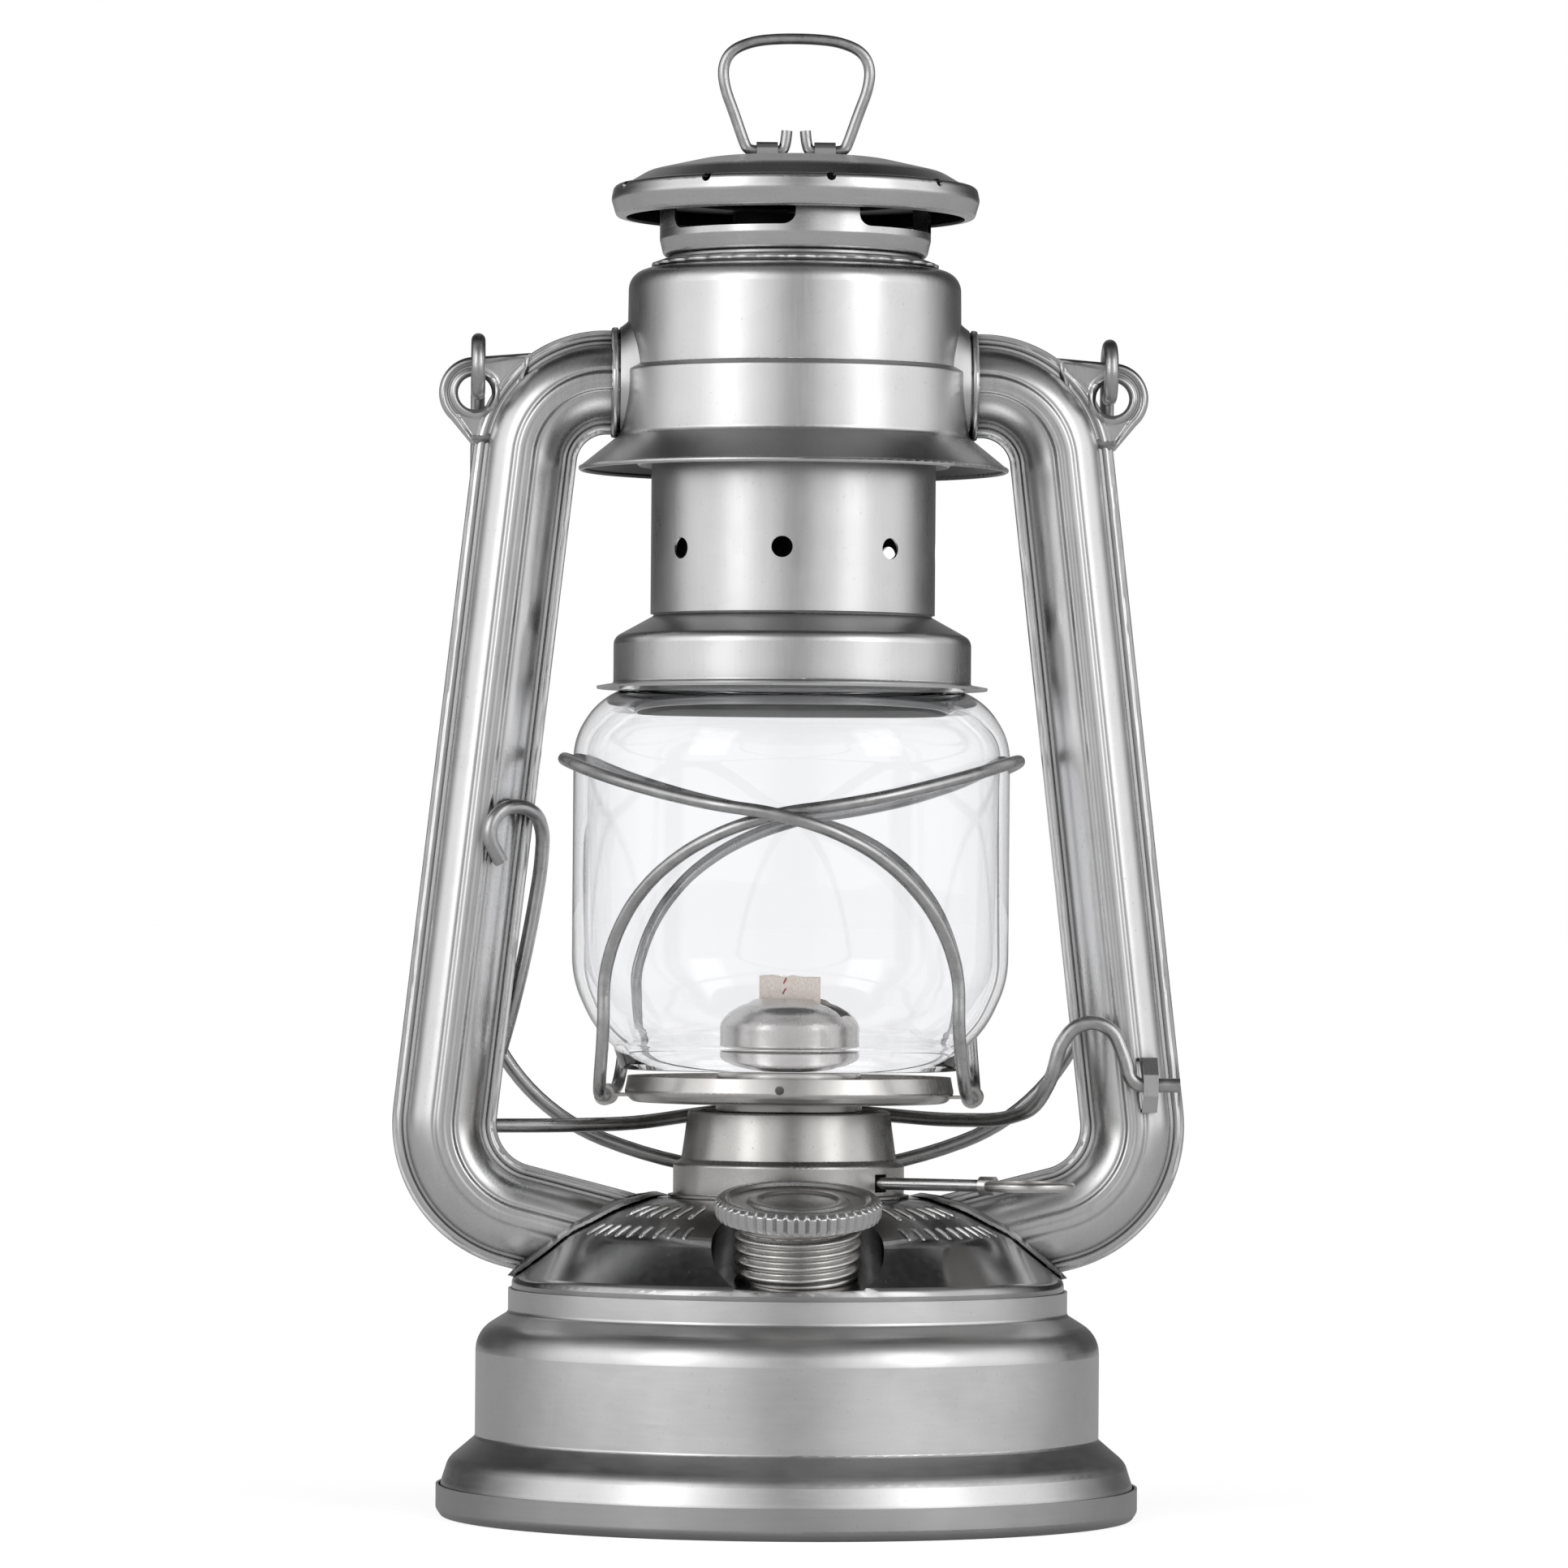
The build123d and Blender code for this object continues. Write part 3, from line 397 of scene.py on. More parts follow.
SHEET_BODY = sheet_metal("galvanised_sheet", 0.66, 0.31, (0.16, 0.16, 1.3))
SHEET_SHELL = sheet_metal("galvanised_shell", 0.66, 0.29, (1.6, 1.6, 0.12), inward_shade=0.88)
SHEET_FOOT = sheet_metal("galvanised_foot", 0.44, 0.33, (0.05, 0.05, 2.4), crease_shade=0.5, ripple=0.8)
SHEET_DOME = sheet_metal("galvanised_dome", 0.40, 0.17, (0.6, 0.6, 0.6))
SHEET_STAMP = sheet_metal("galvanised_stamping", 0.72, 0.24, (0.6, 0.6, 0.6), crease_shade=0.7)
SHEET_TUBE = sheet_metal("galvanised_tube", 0.66, 0.27, (1.4, 1.4, 0.05), crease_shade=0.7)
SHEET_CAP = sheet_metal("galvanised_cap", 0.62, 0.26, (0.15, 0.15, 1.8), inward_shade=0.9)
# A near-black sheet for the cap's floor.
NEAR_BLACK_SHEET = sheet_metal("near_black_sheet", 0.09, 0.5, (0.5, 0.5, 0.5))
SHEET_BURNER = sheet_metal("burner_sheet", 0.58, 0.28, (1.6, 1.6, 0.2), warmth=0.025)
SHEET_COLLAR = sheet_metal("collar_sheet", 0.46, 0.26, (0.5, 0.5, 0.7), 0.025, crease_shade=0.7, ripple=1.8)
SHEET_INNER = sheet_metal("inner_sheet", 0.40, 0.38, (0.5, 0.5, 0.5))
ZINC_WIRE = wire_metal("zinc_wire", 0.50, 0.3)
GLASS = clear_glass()
COTTON = wick_cotton()
YARN = red_yarn()
RUBBER = seal_rubber()

CAD_LOOKS = {
    "fount_bottom": SHEET_FOOT, "fount_body": SHEET_BODY, "fount_dome": SHEET_DOME,
    "fount_divider": SHEET_INNER, "filler_seal": RUBBER, "filler_cap": SHEET_CAP,
    "filler_neck": SHEET_BURNER, "burner_collar": SHEET_COLLAR, "burner_deck": SHEET_INNER,
    "burner_cone": SHEET_BURNER, "wick_tube": SHEET_INNER, "wick": COTTON,
    "winder_shaft": ZINC_WIRE, "winder_sprockets": SHEET_INNER, "winder_key": SHEET_BURNER,
    "globe_plate": SHEET_BURNER, "globe": GLASS, "lever_keeper": SHEET_TUBE,
    "canopy": SHEET_SHELL, "chimney_guide": SHEET_SHELL, "chimney_tube": SHEET_SHELL,
    "chimney_bell": SHEET_SHELL, "bell_spigot": SHEET_INNER, "crown": SHEET_CAP,
    "cap_hood": SHEET_CAP, "cap_floor": NEAR_BLACK_SHEET, "ring_straps": SHEET_CAP,
}
WIRE_NODES = ("guard_wire_left", "guard_wire_right", "lift_ring", "bail", "lift_lever", "side_hook")
for wire_node in WIRE_NODES:
    CAD_LOOKS[wire_node] = ZINC_WIRE
for tube_side in ("left", "right"):
    for tube_part in ("front", "back", "ferrule", "foot"):
        CAD_LOOKS[f"{tube_side}_tube_{tube_part}"] = SHEET_TUBE


def dress(thing, look):
    thing.data.materials.clear()
    thing.data.materials.append(look)


for node_name, node_look in CAD_LOOKS.items():
    dress(frame["nodes"][node_name], node_look)


# ---- mesh helpers -------------------------------------------------------------------------------
def finished(name, bm, look, body, stands_for=(), sharp=35.0):
    """Turn a bmesh written in millimetres into a piece that rides on a body."""
    bmesh.ops.recalc_face_normals(bm, faces=bm.faces)
    limit = math.radians(sharp)
    for edge in bm.edges:
        edge.smooth = edge.calc_face_angle(0.0) < limit
    for face in bm.faces:
        face.smooth = True
    bm.transform(Matrix.Scale(MM, 4))
    mesh = bpy.data.meshes.new(name)
    bm.to_mesh(mesh)
    bm.free()
    piece = bpy.data.objects.new(name, mesh)
    bpy.context.scene.collection.objects.link(piece)
    dress(piece, look)
    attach(piece, body)
    if stands_for:
        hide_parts(*stands_for)


def rounded(points, radii, step):
    """The line through points with rounded corners, drawn with a point every step degrees or so."""
    line = [Vector(points[0])]
    for before, here, after, radius in zip(points, points[1:], points[2:], radii):
        before, here, after = Vector(before), Vector(here), Vector(after)
        inward = (before - here).normalized()
        outward = (after - here).normalized()
        turn = math.pi - inward.angle(outward)
        reach = radius * math.tan(turn / 2)
        middle = here + (inward + outward).normalized() * radius / math.cos(turn / 2)
        first = here + inward * reach - middle
        last = here + outward * reach - middle
        count = max(2, round(math.degrees(turn) / step))
        for index in range(count + 1):
            line.append(middle + first.slerp(last, index / count, first) * radius)
    line.append(Vector(points[-1]))
    return line


def offset(line, distance):
    """The line moved sideways by distance, to its left."""
    moved = []
    for index, point in enumerate(line):
        before = line[max(index - 1, 0)]
        after = line[min(index + 1, len(line) - 1)]
        along = (after - before).normalized()
        moved.append(point + Vector((-along.y, along.x)) * distance)
    return moved


def lathe(outline, segments, shape):
    """A closed outline turned about Z, each point moved by shape(radius, height, angle)."""
    bm = bmesh.new()
    rings = []
    for index in range(segments):
        angle = 2 * math.pi * index / segments
        ring = []
        for radius, height in outline:
            radius, height = shape(radius, height, angle)
            ring.append(bm.verts.new((radius * math.cos(angle), radius * math.sin(angle), height)))
        rings.append(ring)
    count = len(outline)
    for index, ring in enumerate(rings):
        following = rings[(index + 1) % segments]
        for place in range(count):
            beside = (place + 1) % count
            bm.faces.new((ring[place], following[place], following[beside], ring[beside]))
    return bm


def join_rings(bm, rings, closed=False):
    """Faces between each ring of vertices and the next, and from the last to the first if closed."""
    followers = rings[1:] + (rings[:1] if closed else [])
    for ring, following in zip(rings, followers):
        count = len(ring)
        for place in range(count):
            beside = (place + 1) % count
            bm.faces.new((ring[place], ring[beside], following[beside], following[place]))


def in_filler_plane(bm):
    """Move a shape made about Z onto the filler's leaning axis."""
    axis = Vector(CAP_JOINT["axis"])
    lean = math.atan2(-axis.y, axis.z)
    place = Matrix.Translation(Vector(CAP_JOINT["pos_m"]) / MM)
    bm.transform(place @ Matrix.Rotation(lean, 4, "X"))


def height_on(line, radius):
    """Height of a falling line of (radius, height) at a radius."""
    for before, after in zip(line, line[1:]):
        low, high = sorted((before.x, after.x))
        if low <= radius <= high and high > low:
            share = (radius - before.x) / (after.x - before.x)
            return before.y + share * (after.y - before.y)
    return line[-1].y


def dome_profile():
    """Middle of the dome's sheet, from its rim up to the burner collar."""
    return rounded(DOME_LINE, DOME_BENDS, 3.0)


# ---- glass globe --------------------------------------------------------------------------------
def make_globe():
    """Bellied globe with fire-rounded ends and a faint waviness in its outer and inner faces."""
    middle = rounded(GLOBE_LINE, GLOBE_BENDS, 3.0)
    outer = offset(middle, GLOBE_WALL / 2)
    inner = offset(middle, -GLOBE_WALL / 2)
    for side in (outer, inner):
        side[0].y -= GLOBE_LIP
        side[-1].y += GLOBE_LIP
    edge = Vector((GLOBE_EDGE, 0))
    top = [middle[0] + edge, middle[0] - edge]
    foot = [middle[-1] - edge, middle[-1] + edge]
    outline = list(reversed(outer)) + top + inner + foot

    def wavy(radius, height, angle):
        place = Vector((math.cos(angle) * 1.6, math.sin(angle) * 1.6, height * 0.028))
        if GLOBE_WAVY_FROM < height < GLOBE_WAVY_TO:
            radius += GLOBE_WAVE * noise.noise(place)
        return radius, height

    bm = lathe(outline, 256, wavy)
    finished("globe_glass", bm, GLASS, "carrier", ("globe",), 60.0)


# ---- filler -------------------------------------------------------------------------------------
def make_filler_neck():
    """Neck with a true helical thread, closed round its bore."""
    root = THREAD_CREST - THREAD_DEPTH
    bm = bmesh.new()
    turns = [2 * math.pi * index / NECK_SEGMENTS for index in range(NECK_SEGMENTS)]

    def ring_at(height, radii):
        return [bm.verts.new((radius * math.cos(angle), radius * math.sin(angle), height))
                for radius, angle in zip(radii, turns)]

    rings = []
    for row in range(NECK_ROWS + 1):
        height = THREAD_TOP * row / NECK_ROWS
        fade = min(1.0, height / 0.8, (THREAD_TOP - height) / 1.6)
        radii = []
        for angle in turns:
            phase = height / THREAD_PITCH - angle / (2 * math.pi)
            wave = (0.5 + 0.5 * math.cos(2 * math.pi * phase)) ** 0.8
            radii.append(root + THREAD_DEPTH * wave * fade)
        rings.append(ring_at(height + 0.05, radii))
    skirt = NECK_BORE + 0.85
    closing = [(root, NECK_TOP - 0.2), (root - 0.2, NECK_TOP), (NECK_BORE + 0.15, NECK_TOP)]
    closing += [(NECK_BORE, NECK_TOP - 0.15), (NECK_BORE, NECK_TAIL), (skirt, NECK_TAIL), (skirt, 0.05)]
    for radius, height in closing:
        rings.append(ring_at(height, [radius] * NECK_SEGMENTS))
    join_rings(bm, rings, closed=True)
    in_filler_plane(bm)
    finished("filler_neck_thread", bm, SHEET_BURNER, "frame", ("filler_neck",))


def make_filler_cap():
    """Screw cap with a rounded knurl and plain rings pressed in its dished top."""
    knurl_high = CAP_TOP - 0.75
    knurl_low = CAP_LOW + 0.5
    shoulder = (CAP_RADIUS - 0.9, CAP_TOP)
    corners = [(CAP_INSIDE, CAP_LOW), (CAP_RADIUS - 0.5, CAP_LOW), (CAP_RADIUS - 0.1, knurl_low + 0.3)]
    corners += [(CAP_RADIUS, knurl_high), shoulder]
    sides = rounded(corners, [0.3, 0.3, 0.5], 20.0)
    rows = [sides[0]]
    for before, after in zip(sides, sides[1:]):
        pieces = max(1, round((after - before).length / 0.5))
        rows += [before.lerp(after, (part + 1) / pieces) for part in range(pieces)]
    dish = [(13.4, CAP_TOP), (12.6, CAP_TOP - 0.7), (9.6, CAP_TOP - 0.75), (8.9, CAP_TOP - 0.35)]
    dish += [(7.6, CAP_TOP - 0.35), (6.9, CAP_TOP - 0.75), (4.4, CAP_TOP - 0.6), (0.02, CAP_TOP - 0.42)]
    top = rounded([shoulder] + dish, [0.4, 0.6, 0.5, 0.4, 0.4, 0.5, 4.0], 12.0)
    under = [Vector((0.02, CAP_ROOF)), Vector((CAP_INSIDE, CAP_ROOF))]

    def knurled(radius, height, angle):
        if radius > CAP_RADIUS - 0.95 and knurl_low - 0.6 < height < knurl_high + 0.7:
            crest = 0.5 + 0.5 * math.cos(CAP_KNURLS * angle)
            groove = 1.0 - min(1.0, crest * 2.6)
            end = min(1.0, (height - knurl_low + 0.6) / 0.5, (knurl_high + 0.7 - height) / 0.8)
            radius -= KNURL_DEPTH * groove * max(0.0, end)
        return radius, height

    bm = lathe(rows + top[1:] + under, CAP_KNURLS * 10, knurled)
    in_filler_plane(bm)
    finished("filler_cap_knurled", bm, SHEET_CAP, "filler_cap", ("filler_cap",), 40.0)


# ---- embossing on the dome ----------------------------------------------------------------------
def raised_bar(bm, line, azimuth, low, high, width):
    """A rounded ridge on the dome, along its fall from radius high to radius low."""
    across, along = 7, 13
    middle = (low + high) / 2
    grid = []
    for row in range(along):
        share = 2 * row / (along - 1) - 1
        radius = middle + share * (high - low) / 2
        strip = []
        for column in range(across):
            side = 2 * column / (across - 1) - 1
            crown = max(0.0, 1 - side ** 2) * max(0.0, 1 - share ** 4)
            rise = (DOME_RIB_RISE + DOME_RIB_SUNK) * math.sqrt(crown) - DOME_RIB_SUNK
            height = height_on(line, radius) + SHEET / 2 + rise
            angle = azimuth + side * width / 2 / middle
            strip.append(bm.verts.new((radius * math.sin(angle), -radius * math.cos(angle), height)))
        grid.append(strip)
    for here, beyond in zip(grid, grid[1:]):
        for column in range(across - 1):
            bm.faces.new((here[column], here[column + 1], beyond[column + 1], beyond[column]))
    drop = Vector((0, 0, DOME_RIB_DEPTH))
    under = [[bm.verts.new(vert.co - drop) for vert in strip] for strip in grid]
    for here, beyond in zip(under, under[1:]):
        for column in range(across - 1):
            bm.faces.new((here[column], beyond[column], beyond[column + 1], here[column + 1]))
    rim = [(0, column) for column in range(across - 1)]
    rim += [(row, across - 1) for row in range(along - 1)]
    rim += [(along - 1, column) for column in range(across - 1, 0, -1)]
    rim += [(row, 0) for row in range(along - 1, 0, -1)]
    for (row, column), (next_row, next_column) in zip(rim, rim[1:] + rim[:1]):
        bm.faces.new((grid[row][column], under[row][column],
                      under[next_row][next_column], grid[next_row][next_column]))


def make_dome_ribs():
    """Plain pressed ribs, in two rows each side of the filler."""
    line = dome_profile()
    for side, name in ((-1, "left"), (1, "right")):
        bm = bmesh.new()
        for low, high, width, count, first, last in DOME_RIBS:
            for index in range(count):
                azimuth = math.radians(first + (last - first) * index / (count - 1))
                raised_bar(bm, line, side * azimuth, low, high, width)
        finished(f"dome_ribs_{name}", bm, SHEET_STAMP, "frame")


# ---- wick ---------------------------------------------------------------------------------------
def wick_section():
    """Points round the flat strip, each with its outward direction."""
    half_width = WICK_WIDTH / 2 - WICK_THICKNESS / 2
    half_thick = WICK_THICKNESS / 2
    steps = WICK_WARPS * 6
    points = []
    for index in range(steps):
        points.append((-half_width + 2 * half_width * index / steps, -half_thick, 0.0, -1.0))
    for index in range(WICK_END_STEPS):
        angle = -math.pi / 2 + math.pi * index / WICK_END_STEPS
        points.append((half_width + half_thick * math.cos(angle), half_thick * math.sin(angle),
                       math.cos(angle), math.sin(angle)))
    for index in range(steps):
        points.append((half_width - 2 * half_width * index / steps, half_thick, 0.0, 1.0))
    for index in range(WICK_END_STEPS):
        angle = math.pi / 2 + math.pi * index / WICK_END_STEPS
        points.append((-half_width + half_thick * math.cos(angle), half_thick * math.sin(angle),
                       math.cos(angle), math.sin(angle)))
    return points


def make_wick():
    """Woven wick: ribs of warp that dip under each pick, and a cut, slightly frayed top."""
    low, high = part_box("wick")
    bottom, top = low.z / MM, high.z / MM
    heights = [bottom + (WOVEN_FROM - bottom) * row / PLAIN_ROWS for row in range(PLAIN_ROWS)]
    woven = top - 0.5 - WOVEN_FROM
    heights += [WOVEN_FROM + woven * row / WOVEN_ROWS for row in range(WOVEN_ROWS + 1)]
    section = wick_section()
    pitch = WICK_WIDTH / WICK_WARPS
    bm = bmesh.new()
    rings = []
    for height in heights:
        ring = []
        near_top = max(0.0, (height - WOVEN_FROM) / (top - WOVEN_FROM))
        for x, y, out_x, out_y in section:
            warp = math.floor((x + WICK_WIDTH / 2) / pitch)
            across = math.sin(math.pi * ((x + WICK_WIDTH / 2) / pitch - warp))
            pick = math.cos(math.pi * (height / PICK_PITCH + warp))
            bulge = WARP_BULGE * across * (0.6 + 0.4 * pick)
            cut = 0.55 * noise.noise(Vector((x * 0.35, y, 3.0))) - 0.035 * x
            sway = 0.25 * near_top ** 2 * math.sin(x * 0.45)
            place = (x + out_x * bulge, y + out_y * bulge + sway, height + cut * near_top ** 3)
            ring.append(bm.verts.new(place))
        rings.append(ring)
    join_rings(bm, rings)
    count = len(section)
    last = count - WICK_END_STEPS - 1
    for ring, lift in ((rings[0], 0.0), (rings[-1], 0.12)):
        half = count // 2
        spine = []
        for place in range(half):
            front = ring[place].co
            back = ring[(last - place) % count].co
            spine.append(bm.verts.new((front + back) / 2 + Vector((0, 0, lift + 0.1 * noise.noise(front)))))
        for place in range(half - 1):
            bm.faces.new((ring[place], ring[place + 1], spine[place + 1], spine[place]))
            mirror = (last - place) % count
            bm.faces.new((ring[mirror], ring[(mirror - 1) % count], spine[place + 1], spine[place]))
    bm.transform(Matrix.Rotation(BURNER_TURN, 4, "Z"))
    finished("wick_woven", bm, COTTON, "wick", ("wick",), 80.0)


def tube_along(name, points, radius, look, body, taper=None):
    """A smooth round strand through points given in millimetres."""
    curve = bpy.data.curves.new(name, "CURVE")
    curve.dimensions = "3D"
    curve.bevel_depth = radius * MM
    curve.bevel_resolution = 4
    curve.use_fill_caps = True
    spline = curve.splines.new("NURBS")
    spline.points.add(len(points) - 1)
    for index, (knot, place) in enumerate(zip(spline.points, points)):
        knot.co = (*(Vector(place) * MM), 1.0)
        knot.radius = taper[index] if taper else 1.0
    spline.use_endpoint_u = True
    spline.order_u = 3
    spline.resolution_u = 12
    strand = bpy.data.objects.new(name, curve)
    bpy.context.scene.collection.objects.link(strand)
    dress(strand, look)
    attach(strand, body)
    return strand


def make_wick_threads():
    """A red marker yarn that shows as slanting stitches, and loose fibres at the cut."""
    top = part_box("wick")[1].z / MM
    turn = Matrix.Rotation(BURNER_TURN, 3, "Z")
    front = -WICK_THICKNESS / 2 - 0.12
    for index in range(STITCHES):
        base = top - 1.9 - index * STITCH_PITCH
        x = -0.9 - 0.15 * index
        stitch = [(x, front + 0.25, base - 0.1), (x + 0.1, front, base + 0.15),
                  (x + 0.5, front, base + 0.9), (x + 0.6, front + 0.25, base + 1.2)]
        points = [turn @ Vector(place) for place in stitch]
        tube_along(f"wick_stitch_{index}", points, STITCH_RADIUS, YARN, "wick")
    for index in range(FIBRES):
        wander_x = noise.noise(Vector((index * 1.7, 0.3, 0)))
        wander_y = noise.noise(Vector((index * 2.3, 5.1, 0)))
        x = -WICK_WIDTH / 2 + 0.4 + (WICK_WIDTH - 0.8) * index / (FIBRES - 1)
        y = 1.4 * noise.noise(Vector((index * 0.9, 9.0, 2.0)))
        cut = top - 0.7 - 0.035 * x
        depths = [y + wander_y * reach for reach in (0.0, 0.7, 2.0)]
        depths = [max(-FIBRE_DEPTH_LIMIT, min(FIBRE_DEPTH_LIMIT, depth)) for depth in depths]
        tip = min(top - 0.05, cut + 0.6 + 0.4 * wander_y)
        strand = [(x, depths[0], cut - 0.6), (x + wander_x * 0.8, depths[1], cut + 0.1),
                  (x + wander_x * 2.2, depths[2], tip)]
        points = [turn @ Vector(place) for place in strand]
        name = f"wick_fibre_{index:02d}"
        tube_along(name, points, FIBRE_RADIUS, COTTON, "wick", taper=[1, 0.8, 0.3])


# ---- side tubes ---------------------------------------------------------------------------------
def tube_path():
    """Stations (place, outward direction) down the right-hand tube's middle line, in the XZ plane."""
    lean, fall = math.radians(TUBE_LEAN), math.radians(TUBE_FOOT_FALL)
    high, low = Vector(TUBE_HIGH), Vector(TUBE_LOW)
    stations = [(Vector((TUBE_START_X, high.y + TUBE_HIGH_RADIUS)), Vector((0, 1)))]

    def arc(centre, radius, first, last, count):
        for index in range(count + 1):
            angle = first + (last - first) * index / count
            outward = Vector((math.cos(angle), math.sin(angle)))
            stations.append((centre + outward * radius, outward))

    arc(high, TUBE_HIGH_RADIUS, math.pi / 2, lean, TUBE_BEND_STEPS)
    upper_end = stations[-1][0]
    outward = Vector((math.cos(lean), math.sin(lean)))
    lower_start = low + outward * TUBE_LOW_RADIUS
    for index in range(1, TUBE_STRAIGHT_STEPS):
        stations.append((upper_end.lerp(lower_start, index / TUBE_STRAIGHT_STEPS), outward))
    arc(low, TUBE_LOW_RADIUS, lean, fall - math.pi / 2, TUBE_BEND_STEPS)
    return stations


def tube_section():
    """Outside of one half, as (outward, forward) points from the outer seam's edge to the inner one's."""
    seam = [
        (TUBE_FLANGE, SEAM_FACE), (TUBE_FLANGE, 0.42), (TUBE_FLANGE - 0.14, 0.62), (TUBE_FLANGE - 0.4, 0.62),
        (TUBE_FLANGE - 0.62, 0.44), (TUBE_FLANGE - 0.85, 0.44), (TUBE_FLANGE - 1.1, 0.72),
        (TUBE_FLANGE - 1.45, 0.84), (TUBE_FLANGE - 1.8, 0.7), (TUBE_FLANGE - 2.1, 0.4),
    ]
    points = [Vector(point) for point in seam]
    edge = math.radians(TUBE_HALF_SWEEP)
    for index in range(TUBE_ROUND_STEPS + 1):
        angle = edge - 2 * edge * index / TUBE_ROUND_STEPS
        across = TUBE_RADIUS * math.sin(angle)
        shoulder = min(1.0, max(0.0, (TUBE_RIB - abs(across)) / RIB_SLOPE))
        bead = shoulder * shoulder * (3 - 2 * shoulder)
        groove = math.exp(-((abs(across) - TUBE_RIB - 0.35) / 0.3) ** 2)
        crease = math.exp(-((across + 0.35) / 0.32) ** 2)
        radius = TUBE_RADIUS + RIB_RISE * bead - RIB_GROOVE * groove - RIB_CREASE * crease
        points.append(Vector((radius * math.sin(angle), radius * math.cos(angle))))
    points += [Vector((-point.x, point.y)) for point in reversed(points[:len(seam)])]
    return points


def above_dome(line, place):
    """How far a place is above the dome's outer face. Below the face it is negative."""
    radius = math.hypot(place.x, place.y)
    edge = line[0].x
    over = place.z - height_on(line, min(radius, edge - 0.02)) - SHEET / 2
    if radius > edge + SHEET / 2:
        return math.hypot(radius - edge - SHEET / 2, max(over, 0.0)) + 0.01
    return over


def slid_to_dome(line, place, along, spare):
    """Move a place along a direction until it is no more than spare above the dome."""
    travelled = 0.0
    while travelled < SLIDE_LIMIT and above_dome(line, place + along * travelled) > spare:
        travelled += SLIDE_STEP
    return place + along * (travelled - SLIDE_STEP / 2)


def foot_direction(side):
    """The way a tube runs where it comes down to the dome."""
    fall = math.radians(TUBE_FOOT_FALL)
    return Vector((-side * math.cos(fall), 0, -math.sin(fall)))


def seam_wobble(distance, side):
    """The crimped seams are a little uneven along their length."""
    return SEAM_WOBBLE * noise.noise(Vector((distance * 0.12, side * 7.0, 1.0)))


def tube_rings(section, side, facing):
    """Every section of one half, placed along the path and ended on the dome."""
    line = dome_profile()
    stations = tube_path()
    rings = []
    for number, (middle, outward) in enumerate(stations):
        ring = []
        for point in section:
            reach = point.x
            if abs(reach) > TUBE_RADIUS + 1.0:
                wobble = seam_wobble(number * 3.0, math.copysign(1, point.x) + side)
                reach += math.copysign(wobble, point.x)
                reach = max(-TUBE_FLANGE, min(TUBE_FLANGE, reach))
            height = point.y
            if TUBE_FLANGE - 1.0 < abs(point.x) < TUBE_FLANGE - 0.5:
                seed = Vector((number * 0.31, 5.0 * side + point.x, facing))
                height += SEAM_CRIMP * max(0.0, noise.noise(seed))
            flat = middle + outward * reach
            ring.append(Vector((side * flat.x, facing * height, flat.y)))
        rings.append(ring)
    along = foot_direction(side)
    bend_end = rings[-1]
    last = [slid_to_dome(line, place, along, 0.0) for place in bend_end]
    for share in (0.25, 0.5, 0.75):
        rings.append([first.lerp(end, share) for first, end in zip(bend_end, last)])
    rings.append(last)
    return rings


def make_tube_half(side, side_name, facing, facing_name):
    """One pressed half with its rib, seams and open inside."""
    bore = TUBE_RADIUS - TUBE_WALL
    section = tube_section()
    for index in range(TUBE_INSIDE_STEPS + 1):
        angle = -math.pi / 2 + math.pi * index / TUBE_INSIDE_STEPS
        section.append(Vector((bore * math.sin(angle), max(SEAM_FACE, bore * math.cos(angle)))))
    bm = bmesh.new()
    rings = [[bm.verts.new(place) for place in ring] for ring in tube_rings(section, side, facing)]
    join_rings(bm, rings)
    bm.faces.new(rings[0])
    bm.faces.new(rings[-1])
    node = f"{side_name}_tube_{facing_name}"
    finished(f"{node}_pressing", bm, SHEET_TUBE, "frame", (node,), 50.0)


def whole_outline():
    """Outside of both halves together."""
    front = tube_section()
    back = [Vector((point.x, -point.y)) for point in reversed(front)]
    return front + back


def plate_round_tube(name, rings, node):
    """A closed band round a tube, made of rings of equal length."""
    bm = bmesh.new()
    join_rings(bm, [[bm.verts.new(place) for place in ring] for ring in rings], closed=True)
    finished(name, bm, SHEET_TUBE, "frame", (node,), 40.0)


def on_ellipse(point, half_x, half_y):
    """The place on an ellipse in the same direction as a point."""
    angle = math.atan2(point.y / half_y, point.x / half_x)
    return Vector((half_x * math.cos(angle), half_y * math.sin(angle)))


def make_ferrule(side, side_name):
    """Rolled lip where a tube enters the canopy, with the boss that flares into the canopy behind it."""
    middle = TUBE_HIGH[1] + TUBE_HIGH_RADIUS
    outline = whole_outline()
    rings = []
    for along, share, flare in FERRULE_PROFILE:
        ring = []
        for point in outline:
            lip = on_ellipse(point, FERRULE_HALF_HEIGHT, FERRULE_HALF_DEPTH)
            flat = point.lerp(lip * flare, share)
            ring.append(Vector((side * (FERRULE_X + along), flat.y, middle + flat.x)))
        rings.append(ring)
    node = f"{side_name}_tube_ferrule"
    plate_round_tube(f"{node}_lip", rings, node)


def make_foot(side, side_name):
    """Saddle that seats a tube on the dome."""
    line = dome_profile()
    inner = whole_outline()
    outer = [on_ellipse(point, FOOT_HALF_LENGTH, FOOT_HALF_WIDTH) for point in inner]
    middle, outward = tube_path()[-1]
    along = foot_direction(side)

    def landed(points, spare):
        ring = []
        for point in points:
            flat = middle + outward * point.x
            ring.append(slid_to_dome(line, Vector((side * flat.x, point.y, flat.y)), along, spare))
        return ring

    rings = [landed(inner, 0.4), landed(outer, 0.45), landed(outer, 1.1), landed(inner, 1.5)]
    node = f"{side_name}_tube_foot"
    plate_round_tube(f"{node}_saddle", rings, node)


